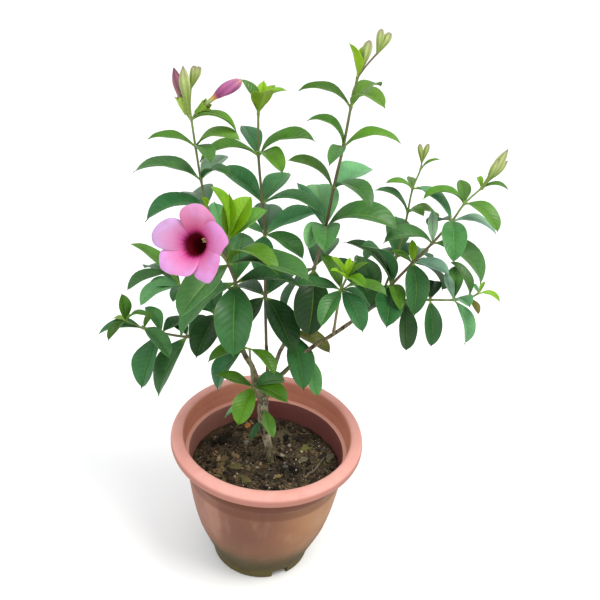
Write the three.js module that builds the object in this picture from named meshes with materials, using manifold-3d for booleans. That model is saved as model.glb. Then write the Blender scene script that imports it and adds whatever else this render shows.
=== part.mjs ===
// Potted allamanda: a woody trunk that forks low down, nine leafy shoots, one open bloom
// and several buds, standing in the soil of a round clay-coloured pot.
// Millimetres, Z up. The origin is the centre of the pot's underside.

import * as THREE from 'three';
import Module from 'manifold-3d';
import { mergeVertices } from 'three/addons/utils/BufferGeometryUtils.js';

const wasm = await Module();
wasm.setup();

// Driving dimensions

const GAP = 0.3;

const RIM_RADIUS = 100;
const MOUTH_RADIUS = 86.8;
const POT_HEIGHT = 165;
const LIP_UNDERSIDE = 151;
const FOOT_RADIUS = 51;
const LEDGE_HEIGHT = 140;
const LEDGE_RADIUS = 80.5;
const POT_FLOOR = 8;
const POT_SIDES = 32;
const DRAIN_HOLE_RADIUS = 5;
const DRAIN_HOLE_CIRCLE = 32;

const SOIL_LEVEL = 118;
const SOIL_SIDES = 24;
const SOIL_CRUMB = 1.6;

const STEM_SIDES = 5;
const BLADE_THICKNESS = 0.8;
const BLADE_FOLD = 22;
const LEAF_BELLY = 0.55;
const PETIOLE_HALF_WIDTH = 1.0;
const PETIOLE_THICKNESS = 1.5;

const THROAT_RADIUS = 9.8;
const THROAT_HEIGHT = 30.5;
const PETAL_RISE = 13.5;
const PETAL_SPREAD = 26;
const PETAL_THICKNESS = 1.0;

// Wood: each limb is a run of points [x, y, z, radius] from its foot to its end.

const LIMBS = {
  trunk: [
    [6, 2, 84, 4.2], [6, 2, 114, 4.0], [4, 2, 129, 3.8], [1, 2, 146, 4.4],
    [-4, 0, 172, 5.3], [-6, -2, 196, 5.6], [-7, -4, 214, 4.6],
  ],
  left: [
    [-7, -4, 206, 3.6], [-18, -8, 249, 2.7], [-28, -14, 274, 2.4],
    [-33, -24, 314, 2.1], [-35, -33, 348, 1.8],
  ],
  right: [
    [-6, -4, 206, 3.4], [2, -2, 227, 2.6], [15, -4, 247.5, 2.2], [32, -8, 274, 2.0],
    [57.3, -14, 302, 1.9], [72, -14, 316.6, 1.8], [93, -6, 332, 1.7],
  ],
  middle: [[-6, 0, 206, 2.8], [-4, 6, 238, 1.9], [-7, 12, 265, 1.7]],
  tall: [[-6, -2, 206, 3.0], [1, 4, 234, 2.2], [7, 8, 260, 2.0], [23, 12, 295, 1.9]],
  budded: [[93, -6, 332, 1.7], [100, -5, 344, 1.6]],
  thin: [[93, -6, 332, 1.4], [101, 6, 341, 1.3]],
  low: [[93, -6, 332, 1.4], [104, -14, 340, 1.3]],
  bright: [[57.3, -14, 302, 1.6], [57, -22, 310, 1.5], [57, -30, 322, 1.4]],
  lowLeft: [[-33, -24, 314, 1.7], [-44, -23, 307, 1.5]],
  backLeft: [[-33, -24, 314, 1.6], [-43, -14, 310, 1.4]],
  young: [[-7, -4, 202, 2.0], [-9, -11, 213, 1.7]],
};

// Leaves that grow straight from the wood. Each is
// [heading, length, rise, droop, width]: the compass heading in degrees from +X,
// the length along the midrib in mm, the slope at which it leaves the stem in degrees,
// the degrees that it bends down on its way to the tip, and its width over its length.

const WOOD_LEAVES = [
  { at: [-28, -14, 274, 2.4], leaves: [[-150, 51, -25, 70, 0.56], [105, 46, 5, 40, 0.5]] },
  { at: [32, -8, 274, 2.0], leaves: [[-50, 46, -52, 15, 0.4]] },
  { at: [17.5, 10.6, 283, 2.0], leaves: [[-70, 60, -17, 45, 0.5], [-20, 44, 12, 55, 0.5]] },
  { at: [93, -6, 332, 1.7], leaves: [[145, 66, 55, 60, 0.45], [110, 61, 50, 50, 0.45]] },
  { at: [-7, -4, 213, 4.6], leaves: [[190, 45, -25, 25, 0.4]] },
  { at: [-6, -2, 196, 5.6], leaves: [[-65, 33, -15, 25, 0.42]] },
  { at: [-5, -1, 180, 5.4], leaves: [[-130, 24, -45, 10, 0.42]] },
];

// Leafy shoots. Whorls sit at the stem point whose number they give.

const SHOOTS = {
  shoot_left_flowering: {
    stem: [
      [-35, -32.6, 347, 1.5], [-36, -38, 366, 1.4], [-43, -34, 382, 1.35], [-53, -22, 402, 1.25],
      [-66, -10, 425, 1.2], [-73, 0, 447, 1.1], [-79, 6, 476, 1.0], [-83, 8, 500, 0.95],
    ],
    whorls: {
      1: [
        [-85, 71, -15, 60, 0.52], [-170, 77, -30, 40, 0.5],
        [12, 62, 18, 50, 0.56], [90, 72, 25, 30, 0.45],
      ],
      2: [
        [-30, 90, 37, 55, 0.42], [-40, 75, 75, 118, 0.34],
        [-125, 71, 0, 45, 0.5], [110, 68, 45, 30, 0.45],
      ],
      4: [[-165, 61, 30, 85, 0.52], [110, 64, 0, 30, 0.5], [-100, 24, 60, 20, 0.3]],
      5: [[180, 64, 37, 70, 0.45], [-40, 44, 65, 80, 0.42], [70, 53, 12, 20, 0.4]],
      6: [[-175, 43, 37, 60, 0.36], [-15, 48, 60, 85, 0.42], [-65, 45, 30, 50, 0.4]],
      7: [[-10, 47, 40, 98, 0.42]],
    },
    sideStem: [[-43, -34, 382, 1.2], [-42, -37, 397, 1.1], [-44, -38, 410, 1.0]],
    sideWhorls: {
      2: [
        [165, 55, 100, 60, 0.38], [28, 44, 46, 28, 0.62],
        [95, 42, 84, 10, 0.34], [50, 44, 66, 30, 0.62],
      ],
    },
  },
  shoot_middle: {
    stem: [
      [-6.9, 11.8, 264, 1.5], [-11, 20, 317, 1.5], [-15, 30, 380, 1.4], [-19, 32, 412, 1.3],
      [-25, 34, 459, 1.2], [-27, 35, 499, 1.05],
    ],
    whorls: {
      1: [[-56, 67, -8, 45, 0.5], [-130, 46, -20, 50, 0.5], [65, 57, 30, 50, 0.5], [140, 54, 5, 50, 0.5]],
      2: [
        [90, 62, 10, 20, 0.5], [150, 34, 15, 25, 0.45], [25, 61, 40, 50, 0.42],
        [-25, 46, 12, 60, 0.5], [-90, 50, -5, 50, 0.5],
      ],
      3: [[150, 55, 42, 40, 0.5], [-20, 65, 42, 80, 0.42], [65, 52, 25, 25, 0.48]],
      4: [[-165, 59, 40, 90, 0.42], [0, 60, 64, 90, 0.42], [-58, 51, 50, 95, 0.42], [110, 52, 20, 25, 0.4]],
      5: [
        [160, 35, 82, 50, 0.5], [-10, 38, 86, 80, 0.42], [-76, 44, 66, 36, 0.5],
        [80, 30, 68, 20, 0.42], [62, 33, 56, 40, 0.42],
      ],
    },
  },
  shoot_right_tall: {
    stem: [
      [22.6, 11.9, 294, 1.7], [34, 12, 358, 1.6], [41, 10, 403, 1.5], [45, 8, 445, 1.4],
      [50, 5, 487, 1.25], [53, 2, 525, 1.15], [56, 0, 553, 1.0],
    ],
    whorls: {
      1: [[160, 60, -45, 40, 0.5], [-90, 67, -33, 50, 0.55], [75, 63, 18, 40, 0.5]],
      2: [
        [-14, 77, 58, 98, 0.46], [100, 64, 30, 35, 0.58], [130, 53, 40, 20, 0.3],
        [-110, 47, 43, 90, 0.45], [-90, 60, 45, 80, 0.45],
      ],
      3: [[180, 52, 64, 70, 0.42], [-50, 58, 50, 95, 0.42], [55, 61, 16, 35, 0.5]],
      4: [[0, 54, 51, 85, 0.36], [170, 46, 90, 120, 0.38], [-105, 47, 27, 50, 0.3]],
      5: [[180, 50, 54, 80, 0.36], [-45, 47, 75, 115, 0.42], [50, 45, 58, 90, 0.42]],
      6: [[-150, 32, 88, 36, 0.4], [70, 26, 74, 10, 0.4]],
    },
  },
  shoot_right_budded: {
    stem: [
      [99.5, -5.1, 343, 1.4], [107, -4, 356, 1.4], [124, 0, 379, 1.35], [140, 5, 399, 1.25],
      [155, 9, 421, 1.1], [164, 12, 438, 0.95], [177, 15, 453, 0.85],
    ],
    whorls: {
      1: [
        [175, 66, 74, 70, 0.4], [-140, 76, 86, 70, 0.32],
        [-80, 43, 35, 80, 0.36], [-95, 56, -5, 15, 0.52], [-150, 38, -25, 40, 0.56],
      ],
      2: [
        [-30, 39, 32, 60, 0.45], [-86, 56, 0, 72, 0.44], [75, 45, 5, 30, 0.45],
        [30, 59, -15, 60, 0.5], [150, 24, 30, 40, 0.42], [100, 22, 66, 20, 0.42], [-170, 20, 55, 40, 0.45],
      ],
      3: [[-165, 52, 45, 85, 0.5], [95, 31, 55, 5, 0.34], [-15, 67, 10, 90, 0.5]],
      4: [
        [160, 46, 60, 50, 0.45], [-10, 44, 26, 70, 0.45],
        [-91, 56, 20, 75, 0.44], [110, 53, -20, 30, 0.4],
      ],
      5: [[-170, 46, 58, 105, 0.4], [90, 42, 10, 10, 0.34], [-40, 45, 25, 90, 0.42]],
      6: [[-5, 26, 43, 80, 0.36], [95, 18, 40, 60, 0.34]],
    },
  },
  shoot_right_thin: {
    stem: [
      [100.4, 5.1, 340.4, 1.2], [104, 14, 347, 1.2], [111, 28, 367, 1.15], [117, 42, 397, 1.1],
      [118, 45, 408, 1.0], [120, 49, 431, 0.9], [125, 51, 451, 0.8], [125, 51, 459, 0.8],
    ],
    whorls: {
      2: [[90, 54, 35, 30, 0.5], [40, 54, 10, 60, 0.5], [130, 49, 0, 60, 0.5]],
      4: [[-175, 42, 68, 70, 0.42], [-65, 32, 50, 60, 0.4], [30, 42, 10, 60, 0.4]],
      5: [[-175, 28, 44, 70, 0.38], [90, 30, 0, 10, 0.34], [10, 36, 0, 60, 0.4]],
      6: [[0, 20, 63, 60, 0.34]],
    },
  },
  shoot_right_low: {
    stem: [
      [103.2, -13.4, 339.4, 1.2], [119, -20, 350, 1.2], [141, -28, 358, 1.1], [161, -36, 365, 1.0],
      [174, -40, 371, 0.95], [181, -42, 378, 0.85],
    ],
    whorls: {
      1: [[-66, 50, -52, 40, 0.42], [100, 50, -40, 40, 0.5]],
      2: [[-82, 45, -22, 60, 0.42], [80, 35, 10, 20, 0.56]],
      3: [
        [110, 28, 43, 20, 0.34], [85, 38, 36, 20, 0.45],
        [-40, 47, -26, 78, 0.42], [-75, 39, 44, 40, 0.45],
      ],
      4: [[140, 41, 90, 90, 0.34], [-55, 17, -20, 25, 0.5]],
      5: [[-10, 22, 22, 80, 0.42], [55, 12, 55, 20, 0.36], [115, 12, 25, 20, 0.36]],
    },
  },
  shoot_right_front: {
    stem: [[57, -29, 320.4, 1.25], [57, -44, 347, 1.25], [58, -64, 384, 1.15], [61, -72, 401, 1.0]],
    whorls: {
      2: [
        [-115, 42, -4, 45, 0.45], [-25, 47, 51, 80, 0.36], [-60, 46, -3, 45, 0.45],
        [10, 34, -12, 50, 0.5], [125, 40, 50, 45, 0.4], [175, 44, 8, 20, 0.46],
      ],
      3: [[-35, 22, 76, 10, 0.4], [80, 18, 65, 10, 0.4], [-145, 22, 56, 40, 0.4], [-55, 29, 46, 70, 0.4],
        [170, 24, 66, 30, 0.42], [20, 23, 52, 30, 0.42]],
    },
  },
  shoot_left_low: {
    stem: [
      [-43.1, -23.1, 307.6, 1.35], [-56, -22, 299, 1.4], [-81, -20, 290, 1.3], [-106, -20, 292, 1.2],
      [-123, -22, 297, 1.05], [-139, -24, 305, 0.95],
    ],
    whorls: {
      2: [[-135, 67, -36, 45, 0.48], [120, 46, 5, 30, 0.4], [65, 36, 20, 30, 0.5]],
      3: [[125, 37, 45, 60, 0.42], [-120, 58, -38, 40, 0.52], [60, 42, 10, 40, 0.42]],
      4: [[180, 47, 10, 50, 0.5], [-45, 45, 15, 60, 0.42], [80, 35, -28, 50, 0.5], [60, 20, 55, 30, 0.4]],
      5: [
        [135, 29, 84, 10, 0.48], [-25, 32, 70, 80, 0.38],
        [-115, 31, 28, 80, 0.36], [130, 29, -15, 20, 0.3],
      ],
    },
  },
  shoot_left_back: {
    stem: [
      [-42.3, -14.7, 310.3, 1.3], [-57, 0, 305, 1.25], [-79, 20, 307, 1.2],
      [-95, 32, 312, 1.0], [-107, 38, 323, 0.9],
    ],
    whorls: {
      1: [[-105, 54, 0, 45, 0.55], [110, 55, 33, 40, 0.5], [150, 44, 15, 50, 0.5]],
      3: [
        [160, 41, 5, 60, 0.4], [-145, 50, 30, 85, 0.46], [-95, 36, 32, 50, 0.4],
        [150, 70, 48, 50, 0.24], [135, 66, 22, 60, 0.4], [-170, 34, 32, 60, 0.5],
      ],
      4: [[-170, 49, 5, 60, 0.4]],
    },
  },
  shoot_low_young: {
    stem: [
      [-8.7, -10, 211.4, 1.6], [-10.6, -22, 225, 1.5], [-14.4, -46, 256.3, 1.35],
      [-17.4, -50, 280.2, 1.15], [-20, -48, 302, 1.0],
    ],
    whorls: {
      2: [
        [180, 37, 24, 15, 0.52], [-110, 41, -14, 45, 0.55],
        [-30, 40, 24, 50, 0.55], [20, 33, 38, 70, 0.62],
      ],
      4: [[-160, 42, 16, 60, 0.48], [-40, 37, 10, 60, 0.48]],
    },
  },
};

// Solids from three.js geometries

function toSolid(geometry) {
  const shape = geometry.clone();
  shape.deleteAttribute('normal');
  shape.deleteAttribute('uv');
  const merged = mergeVertices(shape, 1e-4);
  const position = merged.getAttribute('position');
  const corners = [];
  const volume = new THREE.Vector3();
  let signed = 0;
  const a = new THREE.Vector3();
  const b = new THREE.Vector3();
  const c = new THREE.Vector3();
  for (let i = 0; i < merged.index.count; i += 3) {
    const [p, q, r] = [0, 1, 2].map((k) => merged.index.getX(i + k));
    if (p === q || q === r || r === p) continue;
    corners.push(p, q, r);
    a.fromBufferAttribute(position, p);
    b.fromBufferAttribute(position, q);
    c.fromBufferAttribute(position, r);
    signed += a.dot(volume.crossVectors(b, c));
  }
  if (signed < 0) {
    for (let i = 0; i < corners.length; i += 3) {
      [corners[i + 1], corners[i + 2]] = [corners[i + 2], corners[i + 1]];
    }
  }
  return new wasm.Manifold(new wasm.Mesh({
    numProp: 3,
    vertProperties: new Float32Array(position.array),
    triVerts: new Uint32Array(corners),
  }));
}

function toMesh(name, solid, material) {
  const { vertProperties, triVerts } = solid.getMesh();
  const geometry = new THREE.BufferGeometry();
  geometry.setAttribute('position', new THREE.BufferAttribute(vertProperties, 3));
  geometry.setIndex(new THREE.BufferAttribute(triVerts, 1));
  geometry.computeVertexNormals();
  const mesh = new THREE.Mesh(geometry, material);
  mesh.name = name;
  return mesh;
}

function joined(solids) {
  return solids.reduce((whole, next) => whole.add(next));
}

function largestBody(solid) {
  const bodies = solid.decompose();
  return bodies.reduce((best, next) => (next.volume() > best.volume() ? next : best));
}

// A closed cylinder whose rings are moved onto a path. place(t, turn, centre) gives the
// new position of a point at t from 0 to 1 along it and turn radians round it.

function bentCylinder(sides, rings, place, firstTurn = 0) {
  const geometry = new THREE.CylinderGeometry(1, 1, 1, sides, rings.length - 1, false, firstTurn);
  const position = geometry.getAttribute('position');
  const point = new THREE.Vector3();
  for (let i = 0; i < position.count; i++) {
    point.fromBufferAttribute(position, i);
    const ring = Math.round((0.5 - point.y) * (rings.length - 1));
    const centre = Math.hypot(point.x, point.z) < 1e-6;
    const turn = Math.atan2(point.x, point.z);
    place(rings[ring], turn, centre, ring).toArray(position.array, i * 3);
  }
  return geometry;
}

// Round stem through points [x, y, z, radius], with flat ends. grow makes it fatter and
// longer at both ends, for the clearance that it is given where something meets it.

function stem(points, grow = 0, sides = STEM_SIDES) {
  const places = points.map(([x, y, z]) => new THREE.Vector3(x, y, z));
  const curve = new THREE.CatmullRomCurve3(places, false, 'centripetal');
  const last = points.length - 1;
  const steps = points.map((_, i) => i / last);
  const place = (t, turn, centre, ring) => {
    const along = curve.getTangent(t);
    const back = new THREE.Vector3(0, 1, 0);
    back.addScaledVector(along, -back.dot(along)).normalize();
    const side = new THREE.Vector3().crossVectors(along, back);
    const middle = curve.getPoint(t);
    if (ring === 0) middle.addScaledVector(along, -grow);
    if (ring === last) middle.addScaledVector(along, grow);
    if (centre) return middle;
    const radius = points[ring][3] + grow;
    return middle
      .addScaledVector(side, -Math.sin(turn) * radius)
      .addScaledVector(back, Math.cos(turn) * radius);
  };
  return toSolid(bentCylinder(sides, steps, place));
}

// Arched blade. Its midrib leaves base at the given heading and rise, and bends down by
// droop. Each half folds up from the midrib by fold degrees; a flat blade has no midrib
// and lies half as high as the fold would lift its edges.

function blade({
  base, heading, length, rise, droop, fold, roll = 0, halfWidth, thickness, rings, flat = false,
}) {
  const bearing = heading * THREE.MathUtils.DEG2RAD;
  const out = new THREE.Vector3(Math.cos(bearing), Math.sin(bearing), 0);
  const up = new THREE.Vector3(0, 0, 1);
  const start = rise * THREE.MathUtils.DEG2RAD;
  const bend = Math.max(droop, 1) * THREE.MathUtils.DEG2RAD;
  const rolled = roll * THREE.MathUtils.DEG2RAD;
  const lift = fold * THREE.MathUtils.DEG2RAD;
  const place = (t, turn, centre) => {
    const reach = (length / bend) * (Math.sin(start) - Math.sin(start - bend * t));
    const height = (length / bend) * (Math.cos(start - bend * t) - Math.cos(start));
    const middle = base.clone().addScaledVector(out, reach).addScaledVector(up, height);
    if (centre) return middle;
    const slope = start - bend * t;
    const along = out.clone().multiplyScalar(Math.cos(slope)).addScaledVector(up, Math.sin(slope));
    const side = new THREE.Vector3().crossVectors(out, up).applyAxisAngle(along, rolled);
    const face = new THREE.Vector3().crossVectors(side, along);
    const across = Math.abs(Math.sin(turn)) < 1e-6 ? 0 : -Math.sign(Math.sin(turn));
    const layer = Math.cos(turn) > 0 ? 0.5 : -0.5;
    const half = halfWidth(t);
    const shift = Math.abs(across) * half * Math.sin(lift) * (flat ? 0.5 : 1) + layer * thickness(t);
    return middle.addScaledVector(side, across * half * Math.cos(lift)).addScaledVector(face, shift);
  };
  const geometry = flat ? bentCylinder(4, rings, place, Math.PI / 4) : bentCylinder(6, rings, place);
  matchLowerFace(geometry, rings.length - 1, flat ? [1] : [2, 3]);
  return toSolid(geometry);
}

// The lower face is split along the same diagonals as the upper one.

function matchLowerFace(geometry, segments, columns) {
  const index = geometry.index;
  for (const column of columns) {
    for (let row = 0; row < segments; row++) {
      const first = (column * segments + row) * 6;
      const [a, b, d] = [0, 1, 2].map((k) => index.getX(first + k));
      const c = index.getX(first + 4);
      [a, b, c, a, c, d].forEach((corner, k) => index.setX(first + k, corner));
    }
  }
}

// A leaf's outline is oblong, widest at its belly, with a narrow foot and a blunt end.

function leafHalfWidth(length, width) {
  return (t) => {
    const foot = Math.sin(Math.PI / 2 * Math.min(t / LEAF_BELLY, 1)) ** 1.15;
    const end = (1 - (Math.max(0, t - LEAF_BELLY) / (1 - LEAF_BELLY)) ** 1.9) ** 0.66;
    return Math.max((length * width / 2) * foot * end, t < 0.2 ? PETIOLE_HALF_WIDTH : 0.45);
  };
}

function leaf([x, y, z, radius], [heading, length, rise, droop, width]) {
  const turn = heading * THREE.MathUtils.DEG2RAD;
  const inset = 0.45 * radius;
  return blade({
    base: new THREE.Vector3(x + Math.cos(turn) * inset, y + Math.sin(turn) * inset, z),
    heading,
    length,
    rise,
    droop,
    fold: BLADE_FOLD,
    halfWidth: leafHalfWidth(length, width),
    thickness: (t) => (t < 0.1 ? PETIOLE_THICKNESS : BLADE_THICKNESS),
    rings: length > 68 ? [0, 0.22, 0.55, 0.86, 1] : [0, 0.34, 0.78, 1],
    flat: length < 62,
  });
}

// Bud: a spindle from foot to tip, arched up by arch. Its shape is pairs of a share of its
// length and of its half girth.

const BLUNT = [[0, 0.3], [0.3, 0.62], [0.76, 1], [1, 0.25]];
const STALKED = [[0, 0.4], [0.28, 0.42], [0.68, 1], [1, 0.08]];
const FURLED = [[0, 0.36], [0.38, 0.42], [0.64, 1], [0.93, 0.72], [1, 0.2]];
const ROSE = [[0, 0.5], [0.2, 0.72], [0.66, 1], [0.84, 0.66], [1, 0.1]];

function bud(foot, tip, girth, shape, sides = 5, arch = 0) {
  const from = new THREE.Vector3(...foot);
  const to = new THREE.Vector3(...tip);
  const along = to.clone().sub(from);
  const back = new THREE.Vector3(0, 1, 0);
  back.addScaledVector(along, -back.dot(along) / along.lengthSq()).normalize();
  const side = new THREE.Vector3().crossVectors(along, back).normalize();
  const place = (t, turn, centre, ring) => {
    const middle = from.clone().addScaledVector(along, t);
    middle.z += arch * Math.sin(Math.PI * t);
    if (centre) return middle;
    const radius = shape[ring][1] * girth / 2;
    return middle
      .addScaledVector(side, -Math.sin(turn) * radius)
      .addScaledVector(back, Math.cos(turn) * radius);
  };
  return toSolid(bentCylinder(sides, shape.map(([share]) => share), place));
}

// Calyx: a cup of five pointed sepals round the foot of a flower, with that flower's foot
// at the origin. Every second point of its rim is a sepal's tip.

function calyx(radius, sepalLength) {
  const inner = radius + 0.5;
  const outline = [
    [0, -3], [2, -3], [inner + 1, -0.5], [inner + 1.1, 2.6], [inner + 0.2, 2.6], [inner, -GAP], [0, -GAP],
  ];
  const cup = new THREE.LatheGeometry(outline.map(([r, z]) => new THREE.Vector2(r, z)), 10);
  const position = cup.getAttribute('position');
  for (let i = 0; i < position.count; i++) {
    const step = Math.round(Math.atan2(position.getX(i), position.getZ(i)) / (Math.PI / 5) + 10);
    if (position.getY(i) < 2.5 || step % 2 === 0) continue;
    position.setY(i, sepalLength);
    position.setX(i, position.getX(i) * 1.15);
    position.setZ(i, position.getZ(i) * 1.15);
  }
  cup.rotateX(Math.PI / 2);
  return toSolid(cup);
}

function stand(solid, foot, towards) {
  const from = new THREE.Vector3(...foot);
  const axis = new THREE.Vector3(...towards).sub(from).normalize();
  const spin = new THREE.Quaternion().setFromUnitVectors(new THREE.Vector3(0, 0, 1), axis);
  const matrix = new THREE.Matrix4().compose(from, spin, new THREE.Vector3(1, 1, 1));
  return solid.transform(matrix.toArray());
}

// Materials

const clay = new THREE.MeshStandardMaterial({ color: 0xb9786a, roughness: 0.7 });
const earth = new THREE.MeshStandardMaterial({ color: 0x3d2f27, roughness: 1 });
const bark = new THREE.MeshStandardMaterial({ color: 0x6f5a45, roughness: 0.9 });
const green = new THREE.MeshStandardMaterial({ color: 0x3f7a3c, roughness: 0.5 });
const brightGreen = new THREE.MeshStandardMaterial({ color: 0x6b9a2e, roughness: 0.5 });
const pink = new THREE.MeshStandardMaterial({ color: 0xdd8fc8, roughness: 0.6 });
const rose = new THREE.MeshStandardMaterial({ color: 0xb87a8c, roughness: 0.6 });

// Pot: one closed outline turned about Z, with drain holes and the low arches of its foot.

function potSolid() {
  const outline = [
    [0, 0], [18, 0], [20, 3], [41, 3],
    [43, 0], [FOOT_RADIUS, 0], [FOOT_RADIUS + 1.6, 4], [FOOT_RADIUS + 1.4, 9],
    [60.4, 28], [70.4, 54], [76.8, 82], [82, 115], [84.4, LIP_UNDERSIDE - 6], [86, LIP_UNDERSIDE],
    [RIM_RADIUS - 2, LIP_UNDERSIDE], [RIM_RADIUS, 156], [RIM_RADIUS - 1, 161.4],
    [RIM_RADIUS - 5, 164.7], [MOUTH_RADIUS + 2, POT_HEIGHT], [MOUTH_RADIUS, 162.5],
    [MOUTH_RADIUS - 1.4, LEDGE_HEIGHT + 1], [LEDGE_RADIUS, LEDGE_HEIGHT - 1],
    [78.4, 115], [73.2, 82], [66.8, 54], [57, 28], [40, POT_FLOOR], [0, POT_FLOOR],
  ];
  const geometry = new THREE.LatheGeometry(outline.map(([r, z]) => new THREE.Vector2(r, z)), POT_SIDES);
  geometry.rotateX(Math.PI / 2);
  let pot = toSolid(geometry);
  for (let k = 0; k < 4; k++) {
    const turn = (k + 0.5) * Math.PI / 2;
    const hole = new THREE.CylinderGeometry(DRAIN_HOLE_RADIUS, DRAIN_HOLE_RADIUS, 20, 8);
    hole.rotateX(Math.PI / 2);
    hole.translate(Math.cos(turn) * DRAIN_HOLE_CIRCLE, Math.sin(turn) * DRAIN_HOLE_CIRCLE, 5);
    pot = pot.subtract(toSolid(hole));
  }
  for (let k = 0; k < 3; k++) {
    const arch = new THREE.BoxGeometry(13.5, 18, 20);
    arch.translate(FOOT_RADIUS + 0.3, 0, 0);
    arch.rotateZ((k * 120 - 62) * THREE.MathUtils.DEG2RAD);
    pot = pot.subtract(toSolid(arch));
  }
  return pot;
}

// Soil: it fills the pot, with a crumbly top.

function soilSolid(rootHole) {
  const wallGap = GAP + 0.2;
  const outline = [
    [0, POT_FLOOR + GAP], [39.5, POT_FLOOR + GAP], [57 - wallGap, 28.2], [66.8 - wallGap, 54.2],
    [73.2 - wallGap, 82.1], [78.2 - wallGap, SOIL_LEVEL - 3],
    [73, SOIL_LEVEL], [56, SOIL_LEVEL + 0.6], [40, SOIL_LEVEL - 0.6],
    [24, SOIL_LEVEL], [0, SOIL_LEVEL + 1.5],
  ];
  const geometry = new THREE.LatheGeometry(outline.map(([r, z]) => new THREE.Vector2(r, z)), SOIL_SIDES);
  geometry.rotateX(Math.PI / 2);
  const position = geometry.getAttribute('position');
  for (let i = 0; i < position.count; i++) {
    const [x, y, z] = [position.getX(i), position.getY(i), position.getZ(i)];
    const radius = Math.hypot(x, y);
    if (z < SOIL_LEVEL - 1 || radius < 1) continue;
    const crumbs = Math.sin(x * 0.37 + 1) * Math.cos(y * 0.31) + 0.6 * Math.sin(x * 0.83 + y * 0.71);
    position.setZ(i, z + SOIL_CRUMB * crumbs);
  }
  return toSolid(geometry).subtract(rootHole);
}

// Wood

const woodClearance = joined(Object.values(LIMBS).map((points) => stem(points, GAP)));

function woodSolid() {
  const parts = Object.values(LIMBS).map((points) => stem(points));
  for (const { at, leaves } of WOOD_LEAVES) {
    for (const values of leaves) parts.push(leaf(at, values));
  }
  return joined(parts);
}

function shootSolid({ stem: points, whorls, sideStem, sideWhorls }, extras = []) {
  const parts = [stem(points)];
  const grow = (along, groups) => {
    for (const [number, leaves] of Object.entries(groups)) {
      for (const values of leaves) parts.push(leaf(along[number], values));
    }
  };
  grow(points, whorls);
  if (sideStem) {
    parts.push(stem(sideStem));
    grow(sideStem, sideWhorls);
  }
  return largestBody(joined([...parts, ...extras]).subtract(woodClearance));
}

// Open bloom: a funnel with five broad petals that overlap like a pinwheel. A petal's
// margin is pairs of an azimuth round the throat in degrees and a reach from its axis.
// lift and tilt raise the whole petal and its leading side, so that the next one lies below.

const BLOOM_FOOT = [-57.0, -45.1, 404.5];
const BLOOM_FACE = [-73.7, -80.8, 428.2];

const PETALS = [
  {
    lift: 1.2,
    tilt: 1.2,
    margin: [[326, 11.5], [331, 27], [343, 31.7], [354, 35], [377, 31.6], [393, 27.6], [412, 11.5]],
  },
  {
    lift: 0,
    tilt: 1.5,
    margin: [[20, 11.5], [32, 26], [55, 32], [76, 33.5], [97, 30.4], [108, 24.8], [117, 11.5]],
  },
  {
    lift: 0,
    tilt: 1.5,
    margin: [[101, 11.5], [115, 25], [141, 34.7], [159, 38], [174, 33], [184, 25], [199, 11.5]],
  },
  {
    lift: 0,
    tilt: 1.5,
    margin: [
      [172, 11.5], [183, 28], [207, 34.6], [230, 30.6], [258, 27.7], [275, 22.5], [289, 11.5],
    ],
  },
  {
    lift: -1.2,
    tilt: 0.8,
    margin: [[256, 11.5], [272, 29], [289, 37.4], [306, 34.8], [327, 30.7], [343, 22], [352, 11.5]],
  },
];
const PETAL_ROWS = [0, 0.45, 1];

// A sheet, closed all round. place(column, row, layer) gives a corner's position.

function sheetSolid(columns, rows, place) {
  const count = columns * rows;
  const corners = [];
  for (const layer of [0.5, -0.5]) {
    for (let i = 0; i < count; i++) {
      corners.push(...place(i % columns, Math.floor(i / columns), layer));
    }
  }
  const index = [];
  for (let row = 0; row < rows - 1; row++) {
    for (let column = 0; column < columns - 1; column++) {
      const a = row * columns + column;
      const [b, c, d] = [a + 1, a + columns + 1, a + columns];
      index.push(a, b, c, a, c, d);
      index.push(...[a, c, b, a, d, c].map((corner) => corner + count));
    }
  }
  const border = [];
  for (let i = 0; i < columns - 1; i++) border.push(i);
  for (let j = 0; j < rows - 1; j++) border.push(j * columns + columns - 1);
  for (let i = columns - 1; i > 0; i--) border.push(count - columns + i);
  for (let j = rows - 1; j > 0; j--) border.push(j * columns);
  border.forEach((from, i) => {
    const to = border[(i + 1) % border.length];
    index.push(to, from, from + count, to, from + count, to + count);
  });
  const geometry = new THREE.BufferGeometry();
  geometry.setAttribute('position', new THREE.Float32BufferAttribute(corners, 3));
  geometry.setIndex(index);
  return toSolid(geometry);
}

function petalSolid({ lift, tilt, margin }) {
  const first = margin[0][0];
  const last = margin[margin.length - 1][0];
  return sheetSolid(margin.length, PETAL_ROWS.length, (column, row, layer) => {
    const [azimuth, edge] = margin[column];
    const reach = THROAT_RADIUS - 0.3 + (edge - THROAT_RADIUS + 0.3) * PETAL_ROWS[row];
    const spread = Math.max((reach - THROAT_RADIUS) / PETAL_SPREAD, 0);
    const aside = (2 * azimuth - first - last) / (last - first);
    const bowl = PETAL_RISE * (1 - (1 - Math.min(spread, 1)) ** 2.2) - 2 * spread ** 4;
    const twist = (lift + tilt * aside - 2.3 * aside * aside) * THREE.MathUtils.smoothstep(spread, 0, 0.45);
    const height = THROAT_HEIGHT + bowl + twist + layer * PETAL_THICKNESS;
    const turn = azimuth * THREE.MathUtils.DEG2RAD;
    return [Math.cos(turn) * reach, Math.sin(turn) * reach, height];
  });
}

function bloomSolid() {
  const outline = [
    [0, 0], [3.3, 0], [3.8, 9], [6.2, 17], [8.6, 25], [10.5, THROAT_HEIGHT],
    [9.3, THROAT_HEIGHT], [7.4, 25], [5.2, 17.6], [0, 10],
  ];
  const funnel = new THREE.LatheGeometry(outline.map(([r, z]) => new THREE.Vector2(r, z)), 10);
  funnel.rotateX(Math.PI / 2);
  return stand(joined([toSolid(funnel), ...PETALS.map(petalSolid)]), BLOOM_FOOT, BLOOM_FACE);
}

// Buds of the flowering shoot

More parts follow.
